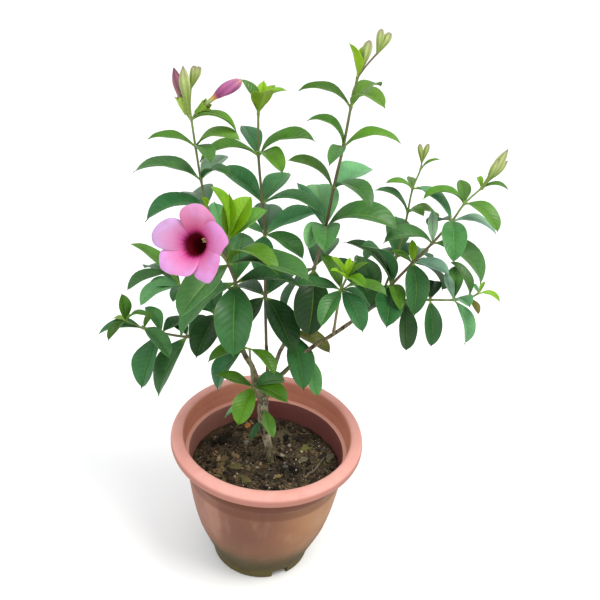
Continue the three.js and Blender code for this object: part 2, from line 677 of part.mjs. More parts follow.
const FURLED_FOOT = [-77.2, 6, 508.8];
const FURLED_TIP = [-40.2, 0, 541.6];
const ROSE_FOOT = [-88.2, 9.5, 506.4];
const ROSE_TIP = [-98.8, 12, 543.5];

const floweringExtras = [
  stem([[-43, -34, 382, 1.2], [-48, -37, 392, 1.2], [-56.4, -43.8, 403.7, 1.5]]),
  stand(calyx(3.9, 11), BLOOM_FOOT, BLOOM_FACE),
  stem([[-83, 8, 499, 1.0], [-81, 7.4, 503, 1.0], [-78.6, 6.3, 507.4, 1.2]]),
  stand(calyx(3, 11), FURLED_FOOT, FURLED_TIP),
  stem([[-83, 8, 499, 1.0], [-85.6, 8.6, 502, 1.0], [-87.7, 9.4, 504.4, 1.2]]),
  stand(calyx(3.2, 14), ROSE_FOOT, ROSE_TIP),
  bud([-85.0, 3.5, 506.1], [-89.3, 0, 550.1], 9, STALKED),
  stem([[-83, 8, 499, 0.9], [-84.6, 10, 512, 0.9], [-84.3, 11, 527, 1.0]]),
  bud([-84.3, 11, 526], [-80.6, 10, 547.7], 6.2, BLUNT),
  bud([-84.1, 11, 527], [-76.6, 12, 546.5], 6, BLUNT),
];

const tallExtras = [
  stem([[56, 0, 552, 0.9], [62, 0, 562.5, 0.9], [70, 0, 574, 0.9]]),
  bud([70, 0, 573], [71.4, -1, 594.5], 6.2, BLUNT),
  bud([70.5, 0, 574.5], [79, 1, 591.5], 6.6, BLUNT),
  bud([56.5, 0, 553], [63, 0, 584], 8, BLUNT),
];
const thinExtras = [
  bud([125, 51, 457], [121, 50, 475.6], 5, BLUNT),
  bud([125, 51, 457], [129, 52, 475.6], 5, BLUNT),
];
const buddedExtras = [
  bud([177, 15, 452], [194, 15, 492.5], 8.4, STALKED),
  bud([177.6, 14.6, 453.5], [187, 11, 485], 6.4, STALKED),
  bud([177.6, 15.4, 453.5], [196.5, 19, 480], 6.4, STALKED),
];

const EXTRAS = {
  shoot_left_flowering: floweringExtras,
  shoot_right_tall: tallExtras,
  shoot_right_thin: thinExtras,
  shoot_right_budded: buddedExtras,
};

const YOUNG_GREEN = ['shoot_right_front', 'shoot_low_young'];

const plant = new THREE.Group();
plant.add(toMesh('pot', potSolid(), clay));
plant.add(toMesh('soil', soilSolid(stem(LIMBS.trunk, GAP)), earth));
plant.add(toMesh('trunk', woodSolid(), bark));
for (const [name, shoot] of Object.entries(SHOOTS)) {
  const material = YOUNG_GREEN.includes(name) ? brightGreen : green;
  plant.add(toMesh(name, shootSolid(shoot, EXTRAS[name]), material));
}
plant.add(toMesh('bloom', bloomSolid(), pink));
plant.add(toMesh('bud_furled', bud(FURLED_FOOT, FURLED_TIP, 10.4, FURLED, 8, 2.2), pink));
plant.add(toMesh('bud_rose', bud(ROSE_FOOT, ROSE_TIP, 8.6, ROSE, 8), rose));

export default plant;
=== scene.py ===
import math
import random

import bmesh
import bpy
import numpy as np
from mathutils import Matrix, Vector, noise


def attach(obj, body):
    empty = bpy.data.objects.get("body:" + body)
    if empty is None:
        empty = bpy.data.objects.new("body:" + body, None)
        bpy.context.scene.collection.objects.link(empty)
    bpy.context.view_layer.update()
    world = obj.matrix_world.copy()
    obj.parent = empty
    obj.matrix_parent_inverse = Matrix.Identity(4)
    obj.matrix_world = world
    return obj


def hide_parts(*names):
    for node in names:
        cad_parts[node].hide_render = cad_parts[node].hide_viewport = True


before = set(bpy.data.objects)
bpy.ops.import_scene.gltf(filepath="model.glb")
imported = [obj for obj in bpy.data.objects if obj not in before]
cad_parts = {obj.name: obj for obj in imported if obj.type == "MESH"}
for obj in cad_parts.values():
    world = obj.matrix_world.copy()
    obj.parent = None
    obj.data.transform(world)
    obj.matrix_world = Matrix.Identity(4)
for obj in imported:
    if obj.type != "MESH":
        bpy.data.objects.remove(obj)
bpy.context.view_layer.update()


# Camera. It stands in front of the plant and above it, looks down at it and leans a
# little to one side, as a hand-held camera does.

pitch = math.radians(32.82)
lean = math.radians(4.54)
ahead = Vector((0, math.cos(pitch), -math.sin(pitch)))
level = Vector((1, 0, 0))
above = level.cross(ahead)
camera_x = level * math.cos(lean) + above * math.sin(lean)
camera_y = above * math.cos(lean) - level * math.sin(lean)
camera = bpy.data.objects.new("camera", bpy.data.cameras.new("camera"))
camera.data.sensor_width = 36
camera.data.lens = 60
camera.data.clip_end = 40
camera.matrix_world = Matrix((camera_x, camera_y, -ahead)).transposed().to_4x4()
camera.location = (0.023, -0.799, 0.844)
bpy.context.scene.collection.objects.link(camera)
bpy.context.scene.camera = camera


# Studio. A plain white floor under an even pale sky, one large soft lamp high on the
# right and a weaker cool one on the left.

def tone(red, green, blue):
    """A colour as a screen gives it, from 0 to 255, in the linear numbers of a shader."""
    shares = [c / 255 for c in (red, green, blue)]
    return tuple(s / 12.92 if s <= 0.04045 else ((s + 0.055) / 1.055) ** 2.4 for s in shares) + (1.0,)


sky = bpy.data.worlds.new("studio")
sky.use_nodes = True
sky.node_tree.nodes["Background"].inputs["Color"].default_value = (0.985, 0.995, 1.0, 1)
sky.node_tree.nodes["Background"].inputs["Strength"].default_value = 1.02
bpy.context.scene.world = sky
bpy.context.scene.view_settings.view_transform = "Standard"


def soft_lamp(name, place, target, size, power, colour):
    """A round lamp of size metres and power watts at place, turned to target."""
    lamp = bpy.data.objects.new(name, bpy.data.lights.new(name, "AREA"))
    lamp.data.shape = "DISK"
    lamp.data.size = size
    lamp.data.energy = power
    lamp.data.color = colour
    lamp.location = place
    lamp.rotation_mode = "QUATERNION"
    lamp.rotation_quaternion = (Vector(target) - Vector(place)).to_track_quat("-Z", "Y")
    bpy.context.scene.collection.objects.link(lamp)


soft_lamp("key_lamp", (0.7, -0.5, 1.9), (0, 0, 0.3), 0.9, 27, (1.0, 0.97, 0.92))
soft_lamp("side_lamp", (-1.3, -0.9, 1.1), (0, 0, 0.3), 1.0, 5, (0.9, 0.96, 1.0))

floor_mesh = bpy.data.meshes.new("floor")
floor_mesh.from_pydata([(-9, -9, 0), (9, -9, 0), (9, 9, 0), (-9, 9, 0)], [], [(0, 1, 2, 3)])
floor = bpy.data.objects.new("floor", floor_mesh)
bpy.context.scene.collection.objects.link(floor)
floor_paint = bpy.data.materials.new("floor_paint")
floor_paint.use_nodes = True
floor_paint.node_tree.nodes["Principled BSDF"].inputs["Base Color"].default_value = (0.94, 0.94, 0.94, 1)
floor_paint.node_tree.nodes["Principled BSDF"].inputs["Roughness"].default_value = 0.9
floor_mesh.materials.append(floor_paint)


# Pot. A moulded plastic flower pot in a clay colour, with a rolled rim, a ledge inside for
# stacking, drain holes, and a foot ring with three low arches. Its colours hold painted light
# and shade: a rim painted lighter than the body as if lit from above, a painted shade on the
# lower part of the rim and on the body under it, a body painted lighter at the left and right
# than in the middle, and a painted shade inside below the ledge with a painted highlight on the
# ledge. Green algae grow round its foot.

MM = 0.001
POT_SIDES = 192
POT_EDGE_DEGREES = 40
DRAIN_HOLE_RADIUS = 0.005
DRAIN_HOLE_CIRCLE = 0.032
FOOT_ARCH_SIZE = (0.0135, 0.018, 0.020)
FOOT_ARCH_CIRCLE = 0.0513
FIRST_ARCH_DEGREES = -62
RIM_EDGE = (0.150, 0.152)
LEDGE_EDGE = (0.1392, 0.1398)


def make_piece(name, places, faces, look, sharp, marks=None, colours=None):
    """A mesh object from points in millimetres, shaded smooth except at edges over sharp degrees."""
    mesh = bpy.data.meshes.new(name)
    mesh.from_pydata((np.asarray(places, float) * MM).tolist(), [], faces)
    if marks is not None:
        layer = mesh.attributes.new("marks", "FLOAT_VECTOR", "POINT")
        layer.data.foreach_set("vector", np.asarray(marks, np.float32).ravel())
    if colours is not None:
        layer = mesh.attributes.new("pigment", "FLOAT_COLOR", "POINT")
        layer.data.foreach_set("color", np.asarray(colours, np.float32).ravel())
    mesh.shade_smooth()
    mesh.set_sharp_from_angle(angle=math.radians(sharp))
    mesh.materials.append(look)
    piece = bpy.data.objects.new(name, mesh)
    bpy.context.scene.collection.objects.link(piece)
    return piece


def new_finish(name, specular, roughness=0.5):
    look = bpy.data.materials.new(name)
    look.use_nodes = True
    shader = look.node_tree.nodes["Principled BSDF"]
    shader.inputs["Roughness"].default_value = roughness
    shader.inputs["Specular IOR Level"].default_value = specular
    return look


def node(look, kind, feeds=(), **settings):
    """A shader node. feeds are pairs of an input and the value or the output that goes in."""
    made = look.node_tree.nodes.new("ShaderNode" + kind)
    for name, value in settings.items():
        setattr(made, name, value)
    for socket, value in feeds:
        if isinstance(value, bpy.types.NodeSocket):
            look.node_tree.links.new(value, made.inputs[socket])
        else:
            made.inputs[socket].default_value = value
    return made


def calc(look, operation, *values):
    return node(look, "Math", list(enumerate(values)), operation=operation).outputs[0]


def times(look, first, second):
    return calc(look, "MULTIPLY", first, second)


def plus(look, first, second):
    return calc(look, "ADD", first, second)


def ramp(look, value, low, high, start=0.0, end=1.0):
    """Start below low, end above high, and a soft change in between."""
    feeds = [("Value", value), ("From Min", low), ("From Max", high), ("To Min", start), ("To Max", end)]
    return node(look, "MapRange", feeds, interpolation_type="SMOOTHSTEP").outputs["Result"]


def mixed(look, share, first, second, way="MIX"):
    feeds = [(0, share), (6, first), (7, second)]
    return node(look, "Mix", feeds, data_type="RGBA", blend_type=way).outputs[2]


def wash(look, under, over, value, low, high, most=1.0):
    """One colour over another: none of it where value is at low, and most of it at high."""
    return mixed(look, ramp(look, value, low, high, 0.0, most), under, over)


def grain(look, scale, detail, stretch=(1, 1, 1), rough=0.5):
    """Noise of about one over scale metres, longer along an axis whose stretch is under 1."""
    place = node(look, "TexCoord").outputs["Object"]
    place = node(look, "Mapping", [("Vector", place), ("Scale", stretch)]).outputs[0]
    feeds = [("Vector", place), ("Scale", scale), ("Detail", detail), ("Roughness", rough)]
    return node(look, "TexNoise", feeds).outputs["Fac"]


def connect(look, colour, roughness=None, height=None, depth=None):
    """Feeds the look's shader with a colour, a roughness and a relief of depth metres."""
    shader = look.node_tree.nodes["Principled BSDF"]
    look.node_tree.links.new(colour, shader.inputs["Base Color"])
    if roughness is not None:
        look.node_tree.links.new(roughness, shader.inputs["Roughness"])
    if height is not None:
        bump = node(look, "Bump", [("Height", height), ("Distance", depth), ("Strength", 1.0)])
        look.node_tree.links.new(bump.outputs[0], shader.inputs["Normal"])


POT_OUTLINE = [
    (0, 0), (17.6, 0), (18.6, 0.6), (19.6, 2.6), (20.4, 3), (40.4, 3), (41.6, 2.6), (42.6, 0.5),
    (43.4, 0), (50.2, 0), (51, 0.5), (51.9, 2), (52.5, 4.5), (52.6, 8), (52.9, 10), (54.6, 14.4),
    (57, 20), (60.4, 28), (64.2, 37.4), (67.6, 46), (70.4, 54), (73, 64), (75.2, 74), (76.8, 82),
    (79, 95), (80.6, 106), (81.9, 116), (82.6, 123), (82.9, 126.6), (83.4, 127.8), (84, 128.6),
    (84.4, 134), (85, 142), (85.7, 149.2), (86.3, 150.7), (87.6, 151.2), (96.6, 151), (98.4, 151.3),
    (99.3, 152.2), (99.8, 153.8), (99.9, 156), (99.6, 158.6), (98.8, 161), (97.3, 163),
    (95.2, 164.4), (92.8, 165), (90.4, 164.9), (88.4, 164.2), (87.2, 163), (86.7, 161.4),
    (86.2, 152), (85.6, 142.4), (85, 141), (84, 140.5), (82, 140), (81, 139.5), (80.5, 138.4),
    (79.6, 128), (78.4, 115), (77.2, 105), (73.2, 82), (66.8, 54), (57, 28), (40, 8), (0, 8),
]


def capped_rings(rows, sides):
    """Faces over rings of points, ring after ring, that close on two end points on the axis."""
    faces, end = [], (rows - 1) * sides
    for k in range(sides):
        n = (k + 1) % sides
        for row in range(rows - 1):
            a, b = row * sides, (row + 1) * sides
            faces.append((a + k, a + n, b + n, b + k))
        faces += [(rows * sides, n, k), (end + k, end + n, rows * sides + 1)]
    return faces


def lathe(outline, sides, ripple=None):
    """An outline of radius and height turned about Z. Its ends lie on the axis."""
    places = []
    for radius, height in outline[1:-1]:
        for k in range(sides):
            turn = 2 * math.pi * k / sides
            extra = ripple(radius, height, turn) if ripple else 0
            places.append(((radius + extra) * math.cos(turn), (radius + extra) * math.sin(turn), height))
    places += [(0, 0, outline[0][1]), (0, 0, outline[-1][1])]
    return places, capped_rings(len(outline) - 2, sides)


pot_look = new_finish("clay_coloured_plastic", 0.18)
x, y, z = node(pot_look, "SeparateXYZ", [(0, node(pot_look, "TexCoord").outputs["Object"])]).outputs
out_from_axis = calc(pot_look, "SQRT", plus(pot_look, times(pot_look, x, x), times(pot_look, y, y)))
cloudy = grain(pot_look, 14, 4)
streaky = grain(pot_look, 60, 4, (1, 1, 0.12))
fine = grain(pot_look, 900, 4)
# Body: painted light and shade, lighter and pinker at the left, darker in the middle, and lighter and tan at
# the right.
body_lit_left = wash(pot_look, tone(134, 88, 76), tone(148, 104, 88), cloudy, 0.35, 0.65)
body_shaded_middle = wash(pot_look, tone(106, 67, 52), tone(117, 78, 60), cloudy, 0.35, 0.65)
body_lit_right = wash(pot_look, tone(154, 112, 78), tone(146, 102, 70), cloudy, 0.35, 0.65)
body = wash(pot_look, body_lit_left, body_shaded_middle, x, -0.065, -0.02)
body = wash(pot_look, body, body_lit_right, x, 0.0, 0.055)
body = wash(pot_look, body, tone(164, 124, 106), streaky, 0.52, 0.75, 0.3)
body = wash(pot_look, body, tone(172, 134, 114), grain(pot_look, 26, 5, (1, 1, 0.4)), 0.56, 0.7, 0.3)
# A painted shadow under the rim: the body is darker from about 118 mm up, and darker still from about 130 mm
# up to the rim.
body = wash(pot_look, body, tone(92, 50, 34), z, 0.1135, 0.1175, 0.5)
body = wash(pot_look, body, tone(92, 50, 36), z, 0.1275, 0.1295, 0.65)
# Rim: painted lighter than the body, a painted top light.
rim = wash(pot_look, tone(204, 140, 129), tone(214, 159, 148), cloudy, 0.3, 0.7)
rim = wash(pot_look, rim, tone(222, 174, 160), streaky, 0.45, 0.8, 0.3)
# A painted shade on the lower part of the rim's roll, below about 161 mm.
rim = wash(pot_look, rim, tone(150, 98, 84), z, 0.1615, 0.1575, 0.8)
shade = wash(pot_look, body, rim, z, *RIM_EDGE)
# Inside: a painted shade makes the wall below the ledge darker, and a painted light makes that wall lighter
# towards the left.
inside_up = wash(pot_look, tone(196, 124, 102), tone(208, 140, 114), cloudy, 0.3, 0.7)
inside_low_painted_shade = wash(pot_look, tone(112, 64, 60), tone(126, 76, 70), cloudy, 0.3, 0.7)
inside_low_painted_shade = wash(pot_look, inside_low_painted_shade, tone(156, 108, 96), x, -0.02, -0.06)
inside = wash(pot_look, inside_low_painted_shade, inside_up, z, *LEDGE_EDGE)
# A painted highlight along the top of the ledge.
ledge_painted_highlight = times(pot_look, ramp(pot_look, z, *LEDGE_EDGE), ramp(pot_look, z, 0.1410, 0.1405))
inside = mixed(pot_look, times(pot_look, ledge_painted_highlight, 0.75), inside, tone(220, 168, 152))
within = times(pot_look, ramp(pot_look, out_from_axis, 0.0881, 0.0869), ramp(pot_look, z, 0.1375, 0.138))
deep = times(pot_look, ramp(pot_look, out_from_axis, 0.0812, 0.0808), ramp(pot_look, z, 0.111, 0.112))
shade = mixed(pot_look, calc(pot_look, "MAXIMUM", within, deep), shade, inside)
wet = plus(pot_look, z, times(pot_look, grain(pot_look, 45, 5), -0.022))
shade = wash(pot_look, shade, tone(110, 78, 52), wet, 0.080, 0.03, 0.6)
shade = wash(pot_look, shade, tone(62, 54, 18), wet, 0.050, 0.014, 0.95)
shade = wash(pot_look, shade, tone(92, 84, 44), wet, 0.006, -0.004, 0.6)
shade = wash(pot_look, shade, tone(96, 60, 50), fine, 0.62, 0.72, 0.3)
relief = plus(pot_look, times(pot_look, fine, 0.4), grain(pot_look, 120, 3))
connect(pot_look, shade, ramp(pot_look, cloudy, 0.3, 0.7, 0.52, 0.68), relief, 0.0002)

pot = make_piece("clay_pot", *lathe(POT_OUTLINE, POT_SIDES), pot_look, POT_EDGE_DEGREES)


def cut_away(piece, cutter):
    """Takes the cutter's solid out of the piece, and removes the cutter."""
    cut = piece.modifiers.new("cut", "BOOLEAN")
    cut.operation = "DIFFERENCE"
    cut.object = cutter
    cut.solver = "EXACT"
    bpy.context.view_layer.update()
    whole = bpy.data.meshes.new_from_object(piece.evaluated_get(bpy.context.evaluated_depsgraph_get()))
    piece.modifiers.clear()
    piece.data = whole
    bpy.data.objects.remove(cutter)


openings = bmesh.new()
for k in range(4):
    turn = (k + 0.5) * math.pi / 2
    middle = (math.cos(turn) * DRAIN_HOLE_CIRCLE, math.sin(turn) * DRAIN_HOLE_CIRCLE, 0.005)
    bmesh.ops.create_cone(
        openings, cap_ends=True, segments=32, radius1=DRAIN_HOLE_RADIUS, radius2=DRAIN_HOLE_RADIUS,
        depth=0.02, matrix=Matrix.Translation(middle),
    )
for k in range(3):
    turn = Matrix.Rotation(math.radians(k * 120 + FIRST_ARCH_DEGREES), 4, "Z")
    place = turn @ Matrix.Translation((FOOT_ARCH_CIRCLE, 0, 0)) @ Matrix.Diagonal((*FOOT_ARCH_SIZE, 1))
    bmesh.ops.create_cube(openings, size=1, matrix=place)
openings_mesh = bpy.data.meshes.new("openings")
openings.to_mesh(openings_mesh)
openings_object = bpy.data.objects.new("openings", openings_mesh)
bpy.context.scene.collection.objects.link(openings_object)
cut_away(pot, openings_object)
pot.data.shade_smooth()
pot.data.set_sharp_from_angle(angle=math.radians(POT_EDGE_DEGREES))
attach(pot, "root")
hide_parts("pot")


# Soil. Dark potting compost that fills the pot to below its ledge, loose and crumbly on
# top, darker and paler in patches, and tinged green in places.

SOIL_LEVEL = 118
SOIL_RADIUS = 78
SOIL_FLOOR = 8.6
SOIL_WALL = [(39, SOIL_FLOOR), (56.4, 28.4), (66.2, 54.2), (72.6, 82.2), (77.2, 110)]
BED_RINGS = 62
BED_SIDES = 200
BED_BRIGHTNESS = 0.75


def soil_height(px, py):
    """The height of the soil's top at a place, in millimetres."""
    radius = math.hypot(px, py)
    swell = 1.4 * noise.noise(Vector((px, py, 3)) * 0.035) + 0.9 * max(0, 1 - radius / 20)
    lumps = noise.fractal(Vector((px, py, 11)) * 0.13, 0.9, 2.1, 4) * 1.9
    crumbs = noise.noise(Vector((px, py, 29)) * 0.55) * 0.7 + noise.noise(Vector((px, py, 7)) * 1.3) * 0.35
    edge = -1.6 * max(0, (radius - 71) / 7) ** 2
    return SOIL_LEVEL + 0.3 + swell + lumps + crumbs + edge


SOIL_SHADES = [
    (40, 60, 16, -0.5), (57, 48, 12, -0.45), (-68, 30, 14, -0.45), (-48, 42, 11, -0.35), (20, 2, 12, -0.4),
    (38, -8, 13, -0.35), (0, -20, 9, -0.25), (20, -44, 12, -0.25), (-52, 4, 16, 0.35), (-36, -12, 14, 0.35),
    (16, 48, 12, 0.3), (41, 14, 8, 0.3), (44, 31, 9, 0.25), (68, 20, 9, 0.3), (-14, 20, 9, 0.15),
]


def soil_shade(px, py):
    """How bright the soil is at a place, where 1 is plain. A shade is (x, y, width, change): a
    negative change makes a darker patch and a positive one a lighter patch."""
    return 1 + sum(
        change * math.exp(-((px - x_here) ** 2 + (py - y_here) ** 2) / width ** 2)
        for x_here, y_here, width, change in SOIL_SHADES
    )


def pigment_of(look):
    """The colour that each point of a piece carries."""
    return node(look, "Attribute", attribute_name="pigment").outputs["Color"]


soil_look = new_finish("potting_compost", 0.25)
crumb = grain(soil_look, 420, 5, rough=0.65)
shade = wash(soil_look, tone(30, 25, 19), tone(112, 94, 69), crumb, 0.35, 0.66)
shade = wash(soil_look, shade, tone(123, 105, 68), grain(soil_look, 34, 4), 0.5, 0.66, 0.6)
shade = wash(soil_look, shade, tone(34, 42, 22), grain(soil_look, 48, 4), 0.55, 0.68, 0.55)
place = node(soil_look, "TexCoord").outputs["Object"]
bits = node(soil_look, "TexVoronoi", [("Vector", place), ("Scale", 330.0)]).outputs["Distance"]
patches = ramp(soil_look, grain(soil_look, 160, 2), 0.55, 0.62)
glint = times(soil_look, ramp(soil_look, bits, 0.26, 0.12), patches)
shade = mixed(soil_look, times(soil_look, glint, 0.4), shade, tone(168, 150, 120))
shade = mixed(soil_look, 1.0, shade, pigment_of(soil_look), "MULTIPLY")
connect(soil_look, shade, ramp(soil_look, crumb, 0.3, 0.7, 0.65, 0.95), crumb, 0.0009)

bed_places = []
for radius, height in SOIL_WALL:
    for k in range(BED_SIDES):
        turn = 2 * math.pi * k / BED_SIDES
        bed_places.append((radius * math.cos(turn), radius * math.sin(turn), height))
for ring in range(BED_RINGS):
    radius = SOIL_RADIUS * (1 - ring / BED_RINGS) ** 0.9
    for k in range(BED_SIDES):
        turn = 2 * math.pi * k / BED_SIDES
        px, py = radius * math.cos(turn), radius * math.sin(turn)
        bed_places.append((px, py, soil_height(px, py)))
bed_places += [(0, 0, SOIL_FLOOR), (0, 0, soil_height(0, 0))]
bed_faces = capped_rings(len(SOIL_WALL) + BED_RINGS, BED_SIDES)
bed_patch_brightness = [(*[BED_BRIGHTNESS * soil_shade(px, py)] * 3, 1) for px, py, _ in bed_places]
soil = make_piece("soil_bed", bed_places, bed_faces, soil_look, 80, colours=bed_patch_brightness)
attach(soil, "root")
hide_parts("soil")


# Crumbs. Loose grains and clods of the compost, in several browns, that lie where watering
# has left them, with a few flat cakes among them.

FULL_TURN = 6.28
LUMP_SHAPES = 14
LUMP_RELIEF = 0.0003
FLAT = (1.15, 0.85, 0.3)
FLAT_CLODS = [
    (16, 48, 8.5, (98, 88, 66)), (26, 52, 5, (84, 74, 56)), (-30, -8, 6, (104, 94, 60)),
    (-20, -26, 6.5, (96, 88, 50)), (6, -14, 5.5, (64, 56, 46)), (36, 44, 6, (44, 38, 30)),
    (-52, 8, 6, (92, 76, 54)), (-38, 34, 6, (52, 44, 34)),
]


def lump_shape(chance, detail):
    """The points and faces of one irregular lump of about 1 mm radius."""
    ball = bmesh.new()
    bmesh.ops.create_icosphere(ball, subdivisions=detail, radius=1)
    seed = Vector((chance.uniform(0, 90), chance.uniform(0, 90), 0))
    squash = (chance.uniform(0.8, 1.3), chance.uniform(0.65, 1.1), chance.uniform(0.5, 0.85))
    points = []
    for v in ball.verts:
        swell = 1 + 0.55 * noise.noise(v.co * 1.3 + seed)
        points.append(Vector((v.co.x * squash[0], v.co.y * squash[1], v.co.z * squash[2])) * swell)
    faces = [[v.index for v in f.verts] for f in ball.faces]
    ball.free()
    return points, faces


def gather(parts):
    """One set of points, faces and colours from several."""
    places, faces, colours = [], [], []
    for more_places, more_faces, more_colours in parts:
        first = len(places)
        places += list(more_places)
        faces += [[first + k for k in face] for face in more_faces]
        colours += list(more_colours)
    return places, faces, colours


def lay(chance, px, py, size, pigment, lift, stretch=(1, 1, 1)):
    """One lump on the soil at a place, with its middle at lift above it."""
    points, faces = lump_shape(chance, 3)
    middle = Vector((px, py, soil_height(px, py) + lift))
    places = [middle + Vector([c * s for c, s in zip(p, stretch)]) * size for p in points]
    return places, faces, [tone(*pigment)] * len(points)


def scatter(chance, count, sizes, pigments, reach=73, detail=1, sink=0.25, spread=0.15,
            stretch=(1, 1, 1), patchy=1.0):
    """Lumps of the given sizes and pigments strewn over the soil, drawn out by stretch. They are
    darker and lighter in patches."""
    parts = []
    shapes = [lump_shape(chance, detail) for _ in range(LUMP_SHAPES)]
    for _ in range(count):
        radius = reach * math.sqrt(chance.random())
        turn = chance.uniform(0, 2 * math.pi)
        px, py = radius * math.cos(turn), radius * math.sin(turn)
        size = chance.uniform(*sizes) * chance.uniform(0.75, 1.0)
        points, faces = chance.choice(shapes)
        spin = Matrix.Rotation(chance.uniform(0, FULL_TURN), 3, "Z")
        spin = spin @ Matrix.Rotation(chance.uniform(-0.7, 0.7), 3, "X")
        middle = Vector((px, py, soil_height(px, py) + size * sink))
        places = [middle + spin @ (p * Vector(stretch)) * size for p in points]
        pigment = chance.choice(pigments)
        damp = noise.noise(Vector((px, py, 17)) * 0.055)
        shift = (1 + chance.uniform(-spread, spread)) * (1 + patchy * max(-0.55, min(0.6, 2.4 * damp)))
        shift *= 1 + patchy * (soil_shade(px, py) - 1)
        parts.append((places, faces, [[c * shift for c in pigment[:3]] + [1]] * len(points)))
    return gather(parts)


def lump_finish(name, roughness, grit=500, change=0.3):
    look = new_finish(name, 0.3, roughness)
    pigment = pigment_of(look)
    gritty = grain(look, grit, 4)
    darker = mixed(look, 1.0, pigment, (1 - change, 1 - change, 1 - change, 1), "MULTIPLY")
    connect(look, wash(look, darker, pigment, gritty, 0.3, 0.7), None, gritty, LUMP_RELIEF)
    return look


chance = random.Random(5)
browns = [
    tone(70, 58, 44), tone(46, 38, 28), tone(92, 78, 56), tone(32, 28, 22), tone(120, 102, 74),
    tone(76, 70, 50),
]
parts = [
    scatter(chance, 1100, (0.6, 2.4), browns),
    scatter(chance, 120, (2.4, 4.6), browns[:4], 70, 3, 0.1, 0.12),
]
parts += [lay(chance, *clod, 0.4, FLAT) for clod in FLAT_CLODS]
places, faces, colours = gather(parts)
crumbs = make_piece("soil_crumbs", places, faces, lump_finish("crumbly_clods", 0.95), 60, colours=colours)
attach(crumbs, "root")


# Grit. White grains of perlite and pale sand that the compost was mixed with.

chance = random.Random(11)
pales = [tone(186, 178, 160), tone(158, 144, 118), tone(214, 210, 200), tone(128, 118, 100)]
places, faces, colours = scatter(chance, 340, (0.35, 0.9), pales, 72, 1, 0.5, patchy=0.2)
perlite = lump_finish("perlite_grains", 0.8, 900, 0.15)
grit = make_piece("soil_grit", places, faces, perlite, 60, colours=colours)
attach(grit, "root")


# Moss. Low green cushions of moss, each a patch of tiny pointed tufts, where the soil stays
# damp.

MOSS_PATCHES = [
    (-30, -24, 13), (-50, 4, 11), (50, 44, 12), (44, -30, 10), (-12, -52, 9), (14, 56, 8), (58, 8, 7),
]
MOSS_GREENS = [tone(70, 80, 34), tone(100, 104, 42), tone(48, 60, 28), tone(122, 116, 58)]
TUFTS_IN_A_PATCH = 70
QUARTER_TURN = 1.571
tuft_faces = []
for k in range(4):
    a, b = 2 * k, 2 * ((k + 1) % 4)
    tuft_faces += [(a, b, b + 1, a + 1), (a + 1, b + 1, 8)]
chance = random.Random(23)
parts = []
for px, py, width in MOSS_PATCHES:
    for _ in range(TUFTS_IN_A_PATCH):
        turn, away = chance.uniform(0, 6.283), width * math.sqrt(chance.random())
        cx, cy = px + away * math.cos(turn), py + away * math.sin(turn)
        foot = Vector((cx, cy, soil_height(cx, cy) - 0.3))
        tall, thick = chance.uniform(0.9, 2.0), chance.uniform(0.35, 0.7)
        tip = foot + Vector((chance.uniform(-0.8, 0.8), chance.uniform(-0.8, 0.8), tall))
        places = []
        for k in range(4):
            side = k * QUARTER_TURN + turn
            corner = Vector((math.cos(side), math.sin(side), 0.2)) * thick
            places += [foot + corner, (foot + tip) / 2 + corner * 0.7]
        places.append(tip)
        parts.append((places, tuft_faces, [chance.choice(MOSS_GREENS)] * len(places)))
places, faces, colours = gather(parts)
moss = make_piece("soil_moss", places, faces, lump_finish("moss_tufts", 0.9, 600, 0.4), 60, colours=colours)
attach(moss, "root")


# Pebbles. A few small stones on the soil: a grey one and an orange one behind the trunk,
# and smaller pale and brown ones half sunk all round.

PEBBLES = [
    (-23, 29, 3.0, (128, 126, 118)), (-24, 58, 3.6, (186, 128, 66)), (22, -3, 2.6, (92, 88, 84)),
    (24, 31, 2.2, (170, 164, 150)), (33, -6, 1.8, (196, 188, 170)), (-8, -6, 1.6, (186, 178, 160)),
    (21, 2, 1.8, (120, 112, 104)), (-42, 32, 2.0, (122, 112, 82)), (38, 24, 1.5, (206, 200, 188)),
    (57, 34, 1.5, (196, 190, 172)), (-58, 36, 1.6, (138, 128, 104)), (4, -34, 1.7, (126, 112, 94)),
    (-34, -4, 1.5, (150, 132, 100)), (12, -46, 1.5, (178, 160, 128)), (50, -34, 1.6, (120, 110, 96)),
    (-20, -58, 1.6, (110, 98, 80)), (62, 30, 2.2, (98, 94, 88)), (0, 66, 2.2, (104, 96, 84)),
]
chance = random.Random(41)
parts = [lay(chance, px, py, size, pigment, size * 0.25) for px, py, size, pigment in PEBBLES]
places, faces, colours = gather(parts)
stone = lump_finish("small_stones", 0.6, 700, 0.25)
pebbles = make_piece("pebbles", places, faces, stone, 80, colours=colours)
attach(pebbles, "root")


# Twigs. A dry forked twig that lies on the soil at the right, and a few bits of root and
# straw.

def spline(points, per_length):
    """A smooth run through points [x, y, z, radius], with a place about every per_length mm."""
    p = np.asarray(points, float)
    p = np.vstack([2 * p[0] - p[1], p, 2 * p[-1] - p[-2]])
    run = []
    for i in range(1, len(p) - 2):
        d0, d1, d2 = (max(np.linalg.norm(p[i + k][:3] - p[i + k - 1][:3]), 1e-3) ** 0.5 for k in (0, 1, 2))
        a, b = p[i][:3], p[i + 1][:3]
        ta = ((a - p[i - 1][:3]) / d0 - (b - p[i - 1][:3]) / (d0 + d1) + (b - a) / d1) * d1
        tb = ((b - a) / d1 - (p[i + 2][:3] - a) / (d1 + d2) + (p[i + 2][:3] - b) / d2) * d1
        steps = max(2, int(round(np.linalg.norm(b - a) / per_length)))
        for step in range(steps + (i == len(p) - 3)):
            t = step / steps
            place = a + ta * t + (3 * (b - a) - 2 * ta - tb) * t ** 2 + (2 * (a - b) + ta + tb) * t ** 3
            run.append([*place, p[i][3] + (p[i + 1][3] - p[i][3]) * t])
    return np.array(run)


